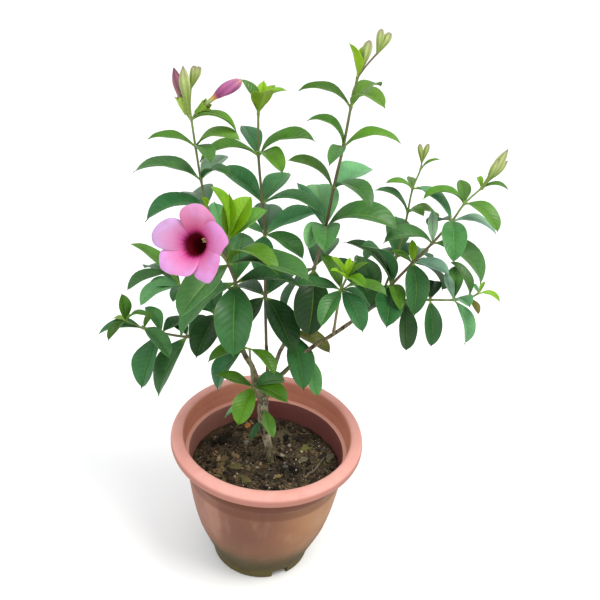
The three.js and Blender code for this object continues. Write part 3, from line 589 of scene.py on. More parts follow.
def tube(points, sides, per_length, bark=None, pigment=None):
    """A round stem along points [x, y, z, radius]. bark(place, turn, radius) adds to its radius."""
    run = spline(points, per_length)
    places, faces, colours = [], [], []
    along = np.gradient(run[:, :3], axis=0)
    along /= np.linalg.norm(along, axis=1)[:, None]
    for (px, py, pz, radius), way in zip(run, along):
        back = np.array([0, 1.0, 0]) if abs(way[1]) < 0.9 else np.array([1.0, 0, 0])
        back -= way * (back @ way)
        back /= np.linalg.norm(back)
        side = np.cross(way, back)
        for k in range(sides):
            turn = 2 * math.pi * k / sides
            out = side * math.cos(turn) + back * math.sin(turn)
            swell = bark(Vector((px, py, pz)), Vector(out), radius) if bark else 0
            places.append(np.array([px, py, pz]) + out * (radius + swell))
            colours.append(pigment(pz, radius) if pigment else (1, 1, 1, 1))
    rows = len(run)
    for row in range(rows - 1):
        for k in range(sides):
            n = (k + 1) % sides
            faces.append((row * sides + k, (row + 1) * sides + k, (row + 1) * sides + n, row * sides + n))
    faces.append(list(range(sides)))
    faces.append([(rows - 1) * sides + k for k in reversed(range(sides))])
    return places, faces, colours


def knotty(share):
    return lambda place, out, radius: radius * share * noise.noise(place * 0.5 + out * 1.5)


def plain(red, green, blue):
    """One colour all along a tube."""
    return lambda height, radius: tone(red, green, blue)


def on_soil(run):
    return [(px, py, soil_height(px, py) + lift, radius) for px, py, lift, radius in run]


dry, straw, gnarled = plain(128, 116, 98), plain(150, 130, 96), knotty(0.4)
TWIGS = [
    (8, 1.2, gnarled, dry, [
        (43, -16, 0.6, 0.9), (47, -11, 1.5, 0.9), (51.6, -6, 1.7, 0.95), (58, 5.7, 1.8, 0.85),
        (63.5, 18, 1.4, 0.7),
    ]),
    (6, 1.2, gnarled, dry, [(51, -7, 1.5, 0.7), (50, -1, 1.7, 0.5), (52, 3, 1.4, 0.35)]),
    (6, 1.2, gnarled, dry, [(57, 4, 1.4, 0.5), (56, -3, 1.6, 0.4), (58, -8, 0.8, 0.3)]),
    (6, 1.5, None, straw, [(-44, 18, 0.5, 0.4), (-38, 12, 0.9, 0.4), (-30, 12, 0.6, 0.3)]),
    (6, 1.5, None, straw, [(-14, -34, 0.5, 0.35), (-8, -40, 0.9, 0.4), (2, -41, 0.6, 0.3)]),
    (6, 1.5, None, straw, [(30, 56, 0.5, 0.5), (38, 52, 1.0, 0.5), (46, 54, 0.5, 0.4)]),
    (6, 1.5, None, straw, [(30, -48, 0.4, 0.4), (38, -44, 0.8, 0.4), (46, -38, 0.5, 0.3)]),
    (6, 1.5, None, dry, [(-60, -20, 0.4, 0.4), (-54, -26, 0.8, 0.4), (-52, -34, 0.5, 0.3)]),
]
twigs = gather([tube(on_soil(run), sides, step, bark, colour) for sides, step, bark, colour, run in TWIGS])
litter = make_piece("twigs", *twigs[:2], lump_finish("dry_twigs", 0.85, 700, 0.4), 60, colours=twigs[2])
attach(litter, "root")


# Wood. A short bent trunk that forks into grey-brown limbs, and these into spurs that carry
# the shoots. The bark is fissured and crusted below and smoother above, ringed by old leaf
# scars, and one root runs out over the soil.

LIMBS = {
    "trunk": [
        (8, 4, 104, 4.4), (6.6, 2.6, 114, 4.0), (5.4, 2.2, 121, 3.5), (3.6, 2, 132, 3.6),
        (1.4, 1.6, 146, 4.2), (-2.4, 0.6, 162, 5.0), (-5, -1, 180, 5.4), (-6, -2, 196, 5.6),
        (-7, -4, 214, 4.6),
    ],
    "left": [
        (-7, -4, 206, 3.6), (-18, -8, 249, 2.7), (-28, -14, 274, 2.4), (-33, -24, 314, 2.1),
        (-35, -33, 348, 1.8),
    ],
    "right": [
        (-6, -4, 206, 3.4), (2, -2, 227, 2.6), (15, -4, 247.5, 2.2), (32, -8, 274, 2.0),
        (57.3, -14, 302, 1.9), (72, -14, 316.6, 1.8), (93, -6, 332, 1.7),
    ],
    "middle": [(-6, 0, 206, 2.8), (-4, 6, 238, 1.9), (-7, 12, 265, 1.7)],
    "tall": [(-6, -2, 206, 3.0), (1, 4, 234, 2.2), (7, 8, 260, 2.0), (23, 12, 295, 1.9)],
    "budded": [(93, -6, 332, 1.7), (100, -5, 344, 1.6)],
    "thin": [(93, -6, 332, 1.4), (101, 6, 341, 1.3)],
    "low": [(93, -6, 332, 1.4), (104, -14, 340, 1.3)],
    "bright": [(57.3, -14, 302, 1.6), (57, -22, 310, 1.5), (57, -30, 322, 1.4)],
    "low_left": [(-33, -24, 314, 1.7), (-44, -23, 307, 1.5)],
    "back_left": [(-33, -24, 314, 1.6), (-43, -14, 310, 1.4)],
    "young": [(-7, -4, 202, 2.0), (-9, -11, 213, 1.7)],
}
SIDE_ROOT = [
    (4, 2, 134, 1.7), (9, 4, 131.4, 1.9), (14, 7, 126.8, 1.8), (19, 10.5, 121.6, 1.5), (24, 14, 116, 1.0),
]


def fissured(place, out, radius):
    rough = noise.fractal(Vector((place.x, place.y, place.z * 0.45)) * 0.28 + out * 1.6, 0.8, 2.2, 4)
    scar = max(0, math.cos((place.z + 2.5 * out.x) * 0.46)) ** 14
    return radius * (0.17 * rough + 0.05 * scar)


def aged(young, old, thin, span):
    """A colour along a tube: young where its radius is thin, and old where it is more by span."""
    def colour(height, radius):
        share = min(1, max(0, (radius - thin) / span))
        return tuple(o * share + y * (1 - share) for o, y in zip(old, young))
    return colour


bark_look = new_finish("fissured_bark", 0.25)
furrow = grain(bark_look, 420, 6, (1, 1, 0.3), 0.65)
blotch = grain(bark_look, 90, 4, (1, 1, 0.6))
height = node(bark_look, "SeparateXYZ", [(0, node(bark_look, "TexCoord").outputs["Object"])]).outputs[2]
shade = wash(bark_look, tone(48, 40, 28), pigment_of(bark_look), furrow, 0.38, 0.58)
low_down = ramp(bark_look, height, 0.20, 0.13, 0.2, 0.85)
crust = times(bark_look, ramp(bark_look, blotch, 0.46, 0.6), low_down)
shade = mixed(bark_look, crust, shade, tone(204, 196, 172))
shade = wash(bark_look, shade, tone(84, 92, 48), grain(bark_look, 70, 3), 0.5, 0.66, 0.55)
shade = wash(bark_look, shade, tone(44, 36, 26), grain(bark_look, 520, 4), 0.56, 0.7, 0.7)
connect(bark_look, shade, ramp(bark_look, furrow, 0.3, 0.7, 0.75, 0.95), furrow, 0.0011)

bark_pigment = aged(tone(112, 98, 72), tone(150, 144, 116), 1.6, 2.6)
wood = gather([tube(points, 24, 1.2, fissured, bark_pigment) for points in [*LIMBS.values(), SIDE_ROOT]])
trunk = make_piece("trunk_wood", *wood[:2], bark_look, 60, colours=wood[2])
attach(trunk, "root")
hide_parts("trunk")


# Leaves. Glossy elliptical blades with a drip tip on a short stalk, folded along a pale
# midrib, arched, and paler below. Young ones are yellow-green and an old one turns brown. Their
# colours also hold painted light: sunlit ones are painted mid green, those that catch the sky
# are painted paler as a painted reflection, and shaded ones are painted dark.

BLADE_FOLD = 22
# Some letters are lit and shaded copies of one green: the darkest hold painted shade, and the pale
# bluish-grey ones a painted reflection of the sky.
LEAF_PIGMENTS_AND_PAINTED_LIGHT = {
    "m": ((72, 119, 26), 0.4), "d": ((40, 91, 45), 0.3), "y": ((114, 160, 14), 0.5),
    "g": ((70, 118, 12), 0.4), "k": ((24, 64, 22), 0.28), "e": ((54, 98, 44), 0.4),
    "f": ((50, 94, 10), 0.4), "h": ((66, 124, 66), 0.35), "l": ((90, 138, 48), 0.4),
    "w": ((138, 172, 142), 0.3), "b": ((60, 108, 52), 0.4), "p": ((88, 146, 96), 0.3),
    "o": ((96, 96, 30), 0.3),
}
BLADE_COLUMNS = np.array([-1, -0.9, -0.68, -0.4, -0.13, 0, 0.13, 0.4, 0.68, 0.9, 1])


def sheet_faces(rows, columns):
    """Faces of a closed sheet, whose upper points come row by row and then its lower ones."""
    faces, c, n = [], columns, rows * columns
    for j in range(rows - 1):
        for i in range(c - 1):
            a = j * c + i
            faces += [(a, a + 1, a + c + 1, a + c), (n + a, n + a + c, n + a + c + 1, n + a + 1)]
        left, right = j * c, j * c + c - 1
        faces += [(left, left + c, n + left + c, n + left), (right, n + right, n + right + c, right + c)]
    for i in range(c - 1):
        tip = (rows - 1) * c + i
        faces += [(i, n + i, n + i + 1, i + 1), (tip, tip + 1, n + tip + 1, n + tip)]
    return faces


def both_sides(shares):
    """Marks of a sheet's upper points and then of its lower ones: across, along, and 1 or 0."""
    shares = np.array(shares)
    return np.vstack([np.c_[shares, np.ones(len(shares))], np.c_[shares, np.zeros(len(shares))]])


def marks_of(look):
    """The marks across, along and upper that each point of a sheet carries."""
    marks = node(look, "Attribute", attribute_name="marks").outputs["Vector"]
    return node(look, "SeparateXYZ", [(0, marks)]).outputs


def blade(base, heading, length, rise, droop, fold, half_width, thickness, groove, rows=21,
          roll=0.0, twist=0.0, sway=0.0, wave=0.0, phase=0.0, columns=BLADE_COLUMNS):
    """An arched blade, closed all round, with its points, faces and marks. It leaves the stem at the
    slope rise and bends down by droop degrees to its tip."""
    bearing = math.radians(heading)
    out, up = np.array([math.cos(bearing), math.sin(bearing), 0.0]), np.array([0.0, 0.0, 1.0])
    start, bend = math.radians(rise), math.radians(max(droop, 1))
    even = np.linspace(0, 1, rows)
    stations = even - 0.62 * np.sin(2 * math.pi * even) / (2 * math.pi)
    upper, lower = [], []
    for t in stations:
        slope = start - bend * t
        middle = np.asarray(base, float) + out * (length / bend) * (math.sin(start) - math.sin(slope))
        middle = middle + up * (length / bend) * (math.cos(slope) - math.cos(start))
        along = out * math.cos(slope) + up * math.sin(slope)
        flat_side = np.cross(out, up)
        flat_face = np.cross(flat_side, along)
        turn = math.radians(roll + twist * t)
        side = flat_side * math.cos(turn) - flat_face * math.sin(turn)
        face = np.cross(side, along)
        middle = middle + flat_side * sway * length * math.sin(math.pi * t) ** 2 * 0.5
        half, lift = half_width(t), math.radians(fold)
        for u in columns:
            far = abs(u)
            rib = math.exp(-(far * half / 0.9) ** 2)
            ruffle = math.sin(2 * math.pi * 2.1 * t + phase + (1.9 if u < 0 else 0))
            height = half * math.sin(lift) * far * (1.45 - 0.45 * far)
            height += wave * length * far * far * ruffle
            place = middle + side * u * half * math.cos(lift) + face * height
            deep = thickness(t) * (0.35 + 0.65 * math.sqrt(max(0, 1 - far ** 2)) if t < 0.13 else 1)
            upper.append(place + face * (deep / 2 - groove * rib))
            lower.append(place - face * (deep / 2 + 1.6 * groove * (1 - 0.7 * t) * rib))
    marks = both_sides([(u, t) for t in stations for u in columns])
    return np.vstack([upper, lower]), sheet_faces(rows, len(columns)), marks


def leaf_half_width(length, width, belly):
    """An oblong outline, widest at belly, with a narrow foot and a blunt end that has a short point."""
    def half(t):
        along = min(t / 0.955, 1)
        foot = math.sin(math.pi / 2 * min(along / belly, 1)) ** 1.15
        end = (1 - max(0, (along - belly) / (1 - belly)) ** 1.9) ** 0.66
        point = length * 0.026 * (1 - t) / 0.07 if t > 0.93 else 0
        return max(length * width / 2 * foot * end, point, 0.8 if t < 0.3 else 0.2)
    return half


def leaf_thickness(t):
    return 0.4 + 1.0 * max(0, 1 - t / 0.14) ** 0.7


def leaf(point, values, chance):
    """One leaf on the stem at point [x, y, z, radius], as points, faces, marks and colours. Its values
    are its heading in degrees from +X, its length in mm, the slope at which it leaves the stem, the
    degrees it bends down to its tip, its width over its length, and the letter of its colour, which
    holds its pigment and the light or shade painted on it."""
    heading, length, rise, droop, width, colour_letter = values
    turn, (px, py, pz, radius) = math.radians(heading), point
    base = (px + math.cos(turn) * 0.45 * radius, py + math.sin(turn) * 0.45 * radius, pz)
    outline = leaf_half_width(length, width, chance.uniform(0.5, 0.6))
    places, faces, marks = blade(
        base, heading, length, rise, droop, BLADE_FOLD, outline, leaf_thickness, 0.22,
        roll=chance.uniform(-7, 7), twist=chance.uniform(-12, 12), sway=chance.uniform(-0.05, 0.05),
        wave=chance.uniform(0.003, 0.012), phase=chance.uniform(0, FULL_TURN),
    )
    pigment, ribs = LEAF_PIGMENTS_AND_PAINTED_LIGHT[colour_letter]
    warm, bright = chance.uniform(-0.14, 0.14), chance.uniform(0.74, 1.2)
    red, green, blue, _ = tone(*pigment)
    colour = (red * (1 + warm) * bright, green * bright, blue * (1 - warm) * bright, ribs)
    return places, faces, marks, [colour] * len(places)


def gather_blades(parts):
    places, faces, marks, colours = [], [], [], []
    count = 0
    for more_places, more_faces, more_marks, more_colours in parts:
        places.append(more_places)
        marks.append(more_marks)
        faces += [tuple(count + k for k in face) for face in more_faces]
        colours += more_colours
        count += len(more_places)
    return np.vstack(places), faces, np.vstack(marks), colours


leaf_look = new_finish("leaf_blade", 0.28)
across, along, upper = marks_of(leaf_look)
pigment = node(leaf_look, "Attribute", attribute_name="pigment")
ribs = pigment.outputs["Alpha"]
far = calc(leaf_look, "ABSOLUTE", across)
bowed = times(leaf_look, times(leaf_look, far, far), 0.09)
lead = plus(leaf_look, times(leaf_look, far, 0.11), bowed)
ladder = times(leaf_look, calc(leaf_look, "SUBTRACT", along, lead), 11.0)
off_vein = calc(leaf_look, "PINGPONG", ladder, 0.5)
vein = times(leaf_look, ramp(leaf_look, off_vein, 0.1, 0.0), ramp(leaf_look, far, 0.97, 0.75))
midrib = ramp(leaf_look, far, 0.06, 0.015)
margin = ramp(leaf_look, far, 0.93, 1.0)
mottle = grain(leaf_look, 90, 3)
shade = wash(leaf_look, (0.84, 0.88, 0.84, 1), (1.16, 1.1, 1.04, 1), mottle, 0.3, 0.7)
shade = mixed(leaf_look, 1.0, pigment.outputs["Color"], shade, "MULTIPLY")
dim = mixed(leaf_look, 1.0, shade, (0.8, 0.86, 0.8, 1), "MULTIPLY")
shade = wash(leaf_look, shade, dim, off_vein, 0.1, 0.5, 0.3)
pale = mixed(leaf_look, 0.5, pigment.outputs["Color"], tone(176, 208, 92))
for mark, strength in ((vein, 0.16), (margin, 0.6)):
    share = times(leaf_look, mark, times(leaf_look, ribs, strength))
    shade = mixed(leaf_look, share, shade, pale)
shade = mixed(leaf_look, times(leaf_look, midrib, ribs), shade, pale)
underside = mixed(leaf_look, 1.0, shade, (1.22, 1.16, 1.6, 1), "MULTIPLY")
shade = mixed(leaf_look, upper, underside, shade)
shade = wash(leaf_look, shade, pale, along, 0.13, 0.04, 0.7)
shade = wash(leaf_look, shade, tone(96, 76, 40), along, 0.955, 1.0, 0.6)
dull = ramp(leaf_look, upper, 0, 1, 0.62, 0.4)
dull = plus(leaf_look, dull, ramp(leaf_look, mottle, 0.3, 0.7, -0.05, 0.07))
speck = times(leaf_look, grain(leaf_look, 1200, 2), 0.2)
relief = plus(leaf_look, ramp(leaf_look, off_vein, 0.0, 0.5), speck)
relief = calc(leaf_look, "SUBTRACT", relief, midrib)
connect(leaf_look, shade, dull, relief, 0.00012)

WOOD_LEAVES = [
    ((-28, -14, 274, 2.4), [(-150, 51, -25, 70, 0.56, "d"), (105, 46, 5, 40, 0.5, "d")]),
    ((32, -8, 274, 2.0), [(-50, 46, -52, 15, 0.4, "h")]),
    ((17.5, 10.6, 283, 2.0), [(-70, 60, -17, 45, 0.5, "d"), (-20, 44, 12, 55, 0.5, "o")]),
    ((93, -6, 332, 1.7), [(145, 66, 55, 60, 0.45, "d"), (110, 61, 50, 50, 0.45, "b")]),
    ((-7, -4, 213, 4.6), [(190, 45, -25, 25, 0.4, "p")]),
    ((-6, -2, 196, 5.6), [(-65, 33, -15, 25, 0.42, "l")]),
    ((-5, -1, 180, 5.4), [(-130, 24, -45, 10, 0.42, "d")]),
]
chance = random.Random(3)
parts = [leaf(point, values, chance) for point, leaves in WOOD_LEAVES for values in leaves]
places, faces, marks_here, colours = gather_blades(parts)
wood_leaves = make_piece("trunk_leaves", places, faces, leaf_look, 55, marks_here, colours)
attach(wood_leaves, "root")
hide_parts("trunk")


# Litter. Chips of bark in several browns, and half-rotted leaves that have dropped on the
# soil.

chance = random.Random(61)
barks = [tone(112, 92, 68), tone(78, 62, 46), tone(140, 118, 90), tone(58, 46, 36)]
places, faces, colours = scatter(chance, 90, (1.2, 2.6), barks, 70, 2, 0.45, 0.15, (2.0, 0.9, 0.35))
chipped = lump_finish("chipped_bark", 0.9, 500, 0.4)
chips = make_piece("bark_chips", places, faces, chipped, 60, colours=colours)
FALLEN_LEAVES = [
    ((36, 24), 40, 18, 0.55, (112, 110, 58)), ((36, 4), 52, 15, 0.5, (104, 98, 84)),
    ((66, 8), 72, 16, 0.5, (92, 86, 74)), ((10, -23), 35, 12, 0.42, (130, 106, 74)),
    ((-44, -22), 150, 13, 0.5, (122, 88, 60)), ((-20, 40), 20, 14, 0.5, (92, 74, 48)),
]
parts = []
for (px, py), heading, length, width, pigment_here in FALLEN_LEAVES:
    places, faces, marks_here = blade(
        (px, py, soil_height(px, py) + 1.4), heading, length, 8, 22, 8,
        leaf_half_width(length, width, 0.52), lambda t: 0.35, 0.1, rows=14, wave=0.03, phase=px,
    )
    parts.append((places, faces, marks_here, [(*tone(*pigment_here)[:3], 0.35)] * len(places)))
places, faces, marks_here, colours = gather_blades(parts)
fallen = make_piece("fallen_leaves", places, faces, leaf_look, 55, marks_here, colours)
for piece in (chips, fallen):
    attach(piece, "root")


# Shoots. Ten green shoots and the side tuft of the flowering one, slightly swollen where
# their whorls of leaves sit, brown at the foot and fresh green at the tip. A whorl's number
# is the point of the stem that it sits on.

SHOOTS = {
    "shoot_left_flowering": {
        "stem": [
            (-35, -32.6, 347, 1.5), (-36, -38, 366, 1.4), (-43, -34, 382, 1.35), (-53, -22, 402, 1.25),
            (-66, -10, 425, 1.2), (-73, 0, 447, 1.1), (-79, 6, 476, 1.0), (-83, 8, 500, 0.95),
        ],
        "whorls": {
            1: [(-85, 71, -15, 60, 0.52, "d"), (-170, 77, -30, 40, 0.5, "b"),
                (12, 62, 18, 50, 0.56, "k"), (90, 72, 25, 30, 0.45, "b")],
            2: [(-30, 90, 37, 55, 0.42, "e"), (-40, 75, 75, 118, 0.34, "m"), (-125, 71, 0, 45, 0.5, "b"),
                (110, 68, 45, 30, 0.45, "p")],
            4: [(-165, 61, 30, 85, 0.52, "d"), (110, 64, 0, 30, 0.5, "d"), (-100, 24, 60, 20, 0.3, "y")],
            5: [(180, 64, 37, 70, 0.45, "b"), (-40, 44, 65, 80, 0.42, "e"), (70, 53, 12, 20, 0.4, "w")],
            6: [(-175, 43, 37, 60, 0.36, "m"), (-15, 48, 60, 85, 0.42, "l"), (-65, 45, 30, 50, 0.4, "b")],
            7: [(-10, 47, 40, 98, 0.42, "m")],
        },
    },
    "shoot_left_flowering_side": {
        "stem": [(-43, -34, 382, 1.2), (-42, -37, 397, 1.1), (-44, -38, 410, 1.0)],
        "whorls": {
            2: [(165, 55, 100, 60, 0.38, "y"), (28, 44, 46, 28, 0.62, "l"),
                (95, 42, 84, 10, 0.34, "y"), (50, 44, 66, 30, 0.62, "y")],
        },
    },
    "shoot_middle": {
        "stem": [
            (-6.9, 11.8, 264, 1.5), (-11, 20, 317, 1.5), (-15, 30, 380, 1.4), (-19, 32, 412, 1.3),
            (-25, 34, 459, 1.2), (-27, 35, 499, 1.05),
        ],
        "whorls": {
            1: [(-56, 67, -8, 45, 0.5, "k"), (-130, 46, -20, 50, 0.5, "k"),
                (65, 57, 30, 50, 0.5, "d"), (140, 54, 5, 50, 0.5, "k")],
            2: [(90, 62, 10, 20, 0.5, "d"), (150, 34, 15, 25, 0.45, "p"), (25, 61, 40, 50, 0.42, "p"),
                (-25, 46, 12, 60, 0.5, "b"), (-90, 50, -5, 50, 0.5, "d")],
            3: [(150, 55, 42, 40, 0.5, "h"), (-20, 65, 42, 80, 0.42, "h"), (65, 52, 25, 25, 0.48, "h")],
            4: [(-165, 59, 40, 90, 0.42, "m"), (0, 60, 64, 90, 0.42, "m"),
                (-58, 51, 50, 95, 0.42, "m"), (110, 52, 20, 25, 0.4, "d")],
            5: [(160, 35, 82, 50, 0.5, "m"), (-10, 38, 86, 80, 0.42, "y"), (-76, 44, 66, 36, 0.5, "y"),
                (80, 30, 68, 20, 0.42, "y"), (62, 33, 56, 40, 0.42, "y")],
        },
    },
    "shoot_right_tall": {
        "stem": [
            (22.6, 11.9, 294, 1.7), (34, 12, 358, 1.6), (41, 10, 403, 1.5), (45, 8, 445, 1.4),
            (50, 5, 487, 1.25), (53, 2, 525, 1.15), (56, 0, 553, 1.0),
        ],
        "whorls": {
            1: [(160, 60, -45, 40, 0.5, "d"), (-90, 67, -33, 50, 0.55, "k"), (75, 63, 18, 40, 0.5, "d")],
            2: [(-14, 77, 58, 98, 0.46, "e"), (100, 64, 30, 35, 0.58, "p"), (130, 53, 40, 20, 0.3, "p"),
                (-110, 47, 43, 90, 0.45, "p"), (-90, 60, 45, 80, 0.45, "b")],
            3: [(180, 52, 64, 70, 0.42, "f"), (-50, 58, 50, 95, 0.42, "e"), (55, 61, 16, 35, 0.5, "p")],
            4: [(0, 54, 51, 85, 0.36, "m"), (170, 46, 90, 120, 0.38, "m"),
                (-105, 47, 27, 50, 0.3, "b")],
            5: [(180, 50, 54, 80, 0.36, "f"), (-45, 47, 75, 115, 0.42, "l"), (50, 45, 58, 90, 0.42, "m")],
            6: [(-150, 32, 88, 36, 0.4, "y"), (70, 26, 74, 10, 0.4, "y")],
        },
    },
    "shoot_right_budded": {
        "stem": [
            (99.5, -5.1, 343, 1.4), (107, -4, 356, 1.4), (124, 0, 379, 1.35), (140, 5, 399, 1.25),
            (155, 9, 421, 1.1), (164, 12, 438, 0.95), (177, 15, 453, 0.85),
        ],
        "whorls": {
            1: [(175, 66, 74, 70, 0.4, "b"), (-140, 76, 86, 70, 0.32, "d"),
                (-80, 43, 35, 80, 0.36, "m"), (-95, 56, -5, 15, 0.52, "d"), (-150, 38, -25, 40, 0.56, "k")],
            2: [(-30, 39, 32, 60, 0.45, "w"), (-86, 56, 0, 72, 0.44, "d"), (75, 45, 5, 30, 0.45, "p"),
                (30, 59, -15, 60, 0.5, "k"), (150, 24, 30, 40, 0.42, "y"), (100, 22, 66, 20, 0.42, "y"),
                (-170, 20, 55, 40, 0.45, "m")],
            3: [(-165, 52, 45, 85, 0.5, "b"), (95, 31, 55, 5, 0.34, "w"), (-15, 67, 10, 90, 0.5, "b")],
            4: [(160, 46, 60, 50, 0.45, "p"), (-10, 44, 26, 70, 0.45, "w"),
                (-91, 56, 20, 75, 0.44, "b"), (110, 53, -20, 30, 0.4, "d")],
            5: [(-170, 46, 58, 105, 0.4, "m"), (90, 42, 10, 10, 0.34, "m"), (-40, 45, 25, 90, 0.42, "l")],
            6: [(-5, 26, 43, 80, 0.36, "m"), (95, 18, 40, 60, 0.34, "y")],
        },
    },
    "shoot_right_thin": {
        "stem": [
            (100.4, 5.1, 340.4, 1.2), (104, 14, 347, 1.2), (111, 28, 367, 1.15), (117, 42, 397, 1.1),
            (118, 45, 408, 1.0), (120, 49, 431, 0.9), (125, 51, 451, 0.8), (125, 51, 459, 0.8),
        ],
        "whorls": {
            2: [(90, 54, 35, 30, 0.5, "h"), (40, 54, 10, 60, 0.5, "d"), (130, 49, 0, 60, 0.5, "d")],
            4: [(-175, 42, 68, 70, 0.42, "d"), (-65, 32, 50, 60, 0.4, "m"), (30, 42, 10, 60, 0.4, "m")],
            5: [(-175, 28, 44, 70, 0.38, "m"), (90, 30, 0, 10, 0.34, "m"), (10, 36, 0, 60, 0.4, "m")],
            6: [(0, 20, 63, 60, 0.34, "m")],
        },
    },
    "shoot_right_low": {
        "stem": [
            (103.2, -13.4, 339.4, 1.2), (119, -20, 350, 1.2), (141, -28, 358, 1.1), (161, -36, 365, 1.0),
            (174, -40, 371, 0.95), (181, -42, 378, 0.85),
        ],
        "whorls": {
            1: [(-66, 50, -52, 40, 0.42, "k"), (100, 50, -40, 40, 0.5, "d")],
            2: [(-82, 45, -22, 60, 0.42, "d"), (80, 35, 10, 20, 0.56, "k")],
            3: [(110, 28, 43, 20, 0.34, "w"), (85, 38, 36, 20, 0.45, "b"),
                (-40, 47, -26, 78, 0.42, "p"), (-75, 39, 44, 40, 0.45, "p")],
            4: [(140, 41, 90, 90, 0.34, "e"), (-55, 17, -20, 25, 0.5, "o")],
            5: [(-10, 22, 22, 80, 0.42, "y"), (55, 12, 55, 20, 0.36, "y"), (115, 12, 25, 20, 0.36, "p")],
        },
    },
    "shoot_right_front": {
        "stem": [(57, -29, 320.4, 1.25), (57, -44, 347, 1.25), (58, -64, 384, 1.15), (61, -72, 401, 1.0)],
        "whorls": {
            2: [(-115, 42, -4, 45, 0.45, "e"), (-25, 47, 51, 80, 0.36, "m"), (-60, 46, -3, 45, 0.45, "d"),
                (10, 34, -12, 50, 0.5, "d"), (125, 40, 50, 45, 0.4, "f"), (175, 44, 8, 20, 0.46, "d")],
            3: [(-35, 22, 76, 10, 0.4, "y"), (80, 18, 65, 10, 0.4, "y"),
                (-145, 22, 56, 40, 0.4, "y"), (-55, 29, 46, 70, 0.4, "g"),
                (170, 24, 66, 30, 0.42, "y"), (20, 23, 52, 30, 0.42, "g")],
        },
    },
    "shoot_left_low": {
        "stem": [
            (-43.1, -23.1, 307.6, 1.35), (-56, -22, 299, 1.4), (-81, -20, 290, 1.3), (-106, -20, 292, 1.2),
            (-123, -22, 297, 1.05), (-139, -24, 305, 0.95),
        ],
        "whorls": {
            2: [(-135, 67, -36, 45, 0.48, "b"), (120, 46, 5, 30, 0.4, "d"), (65, 36, 20, 30, 0.5, "d")],
            3: [(125, 37, 45, 60, 0.42, "h"), (-120, 58, -38, 40, 0.52, "d"), (60, 42, 10, 40, 0.42, "d")],
            4: [(180, 47, 10, 50, 0.5, "d"), (-45, 45, 15, 60, 0.42, "h"),
                (80, 35, -28, 50, 0.5, "d"), (60, 20, 55, 30, 0.4, "m")],
            5: [(135, 29, 84, 10, 0.48, "m"), (-25, 32, 70, 80, 0.38, "m"),
                (-115, 31, 28, 80, 0.36, "f"), (130, 29, -15, 20, 0.3, "y")],
        },
    },
    "shoot_left_back": {
        "stem": [
            (-42.3, -14.7, 310.3, 1.3), (-57, 0, 305, 1.25), (-79, 20, 307, 1.2), (-95, 32, 312, 1.0),
            (-107, 38, 323, 0.9),
        ],
        "whorls": {
            1: [(-105, 54, 0, 45, 0.55, "k"), (110, 55, 33, 40, 0.5, "d"), (150, 44, 15, 50, 0.5, "d")],
            3: [(160, 41, 5, 60, 0.4, "d"), (-145, 50, 30, 85, 0.46, "p"), (-95, 36, 32, 50, 0.4, "d"),
                (150, 70, 48, 50, 0.24, "l"), (135, 66, 22, 60, 0.4, "d"), (-170, 34, 32, 60, 0.5, "p")],
            4: [(-170, 49, 5, 60, 0.4, "b")],
        },
    },
    "shoot_low_young": {
        "stem": [
            (-8.7, -10, 211.4, 1.6), (-10.6, -22, 225, 1.5), (-14.4, -46, 256.3, 1.35),
            (-17.4, -50, 280.2, 1.15), (-20, -48, 302, 1.0),
        ],
        "whorls": {
            2: [(180, 37, 24, 15, 0.52, "g"), (-110, 41, -14, 45, 0.55, "g"),
                (-30, 40, 24, 50, 0.55, "f"), (20, 33, 38, 70, 0.62, "b")],
            4: [(-160, 42, 16, 60, 0.48, "f"), (-40, 37, 10, 60, 0.48, "g")],
        },
    },
}

stem_look = new_finish("shoot_rind", 0.4)
fleck = grain(stem_look, 300, 4, (1, 1, 0.25))
shade = wash(stem_look, pigment_of(stem_look), tone(86, 72, 48), fleck, 0.4, 0.65, 0.45)
connect(stem_look, shade, ramp(stem_look, fleck, 0.3, 0.7, 0.45, 0.65), fleck, 0.0002)
shoot_pigment = aged(tone(112, 138, 70), tone(104, 92, 68), 0.95, 0.4)


def shoot_stem(points, whorls):
    """A shoot's stem, thicker by a little at each whorl of leaves."""
    knots = [Vector(points[k][:3]) for k in whorls]

    def swollen(place, out, radius):
        near = min((place - knot).length for knot in knots)
        return radius * (0.45 * math.exp(-(near / 1.9) ** 2) + 0.06 * noise.noise(place * 0.3 + out))
    return tube(points, 14, 1.5, swollen, shoot_pigment)


for number, (name, shoot) in enumerate(SHOOTS.items()):
    chance = random.Random(100 + number)
    cad_node = name.replace("_side", "")
    stem, whorls = shoot["stem"], shoot["whorls"]
    body_places, body_faces, body_colours = shoot_stem(stem, whorls)
    stem_piece = make_piece(name + "_stem", body_places, body_faces, stem_look, 70, colours=body_colours)
    parts = [leaf(stem[k], values, chance) for k, leaves in whorls.items() for values in leaves]
    places, faces, marks_here, colours = gather_blades(parts)
    leaves_piece = make_piece(name + "_leaves", places, faces, leaf_look, 55, marks_here, colours)
    for piece in (stem_piece, leaves_piece):
        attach(piece, "root")
        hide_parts(cad_node)


# Bloom. One open trumpet flower: a funnel of fused petals, maroon in its throat, whose five
# broad lobes are orchid pink and lie over each other like a pinwheel.

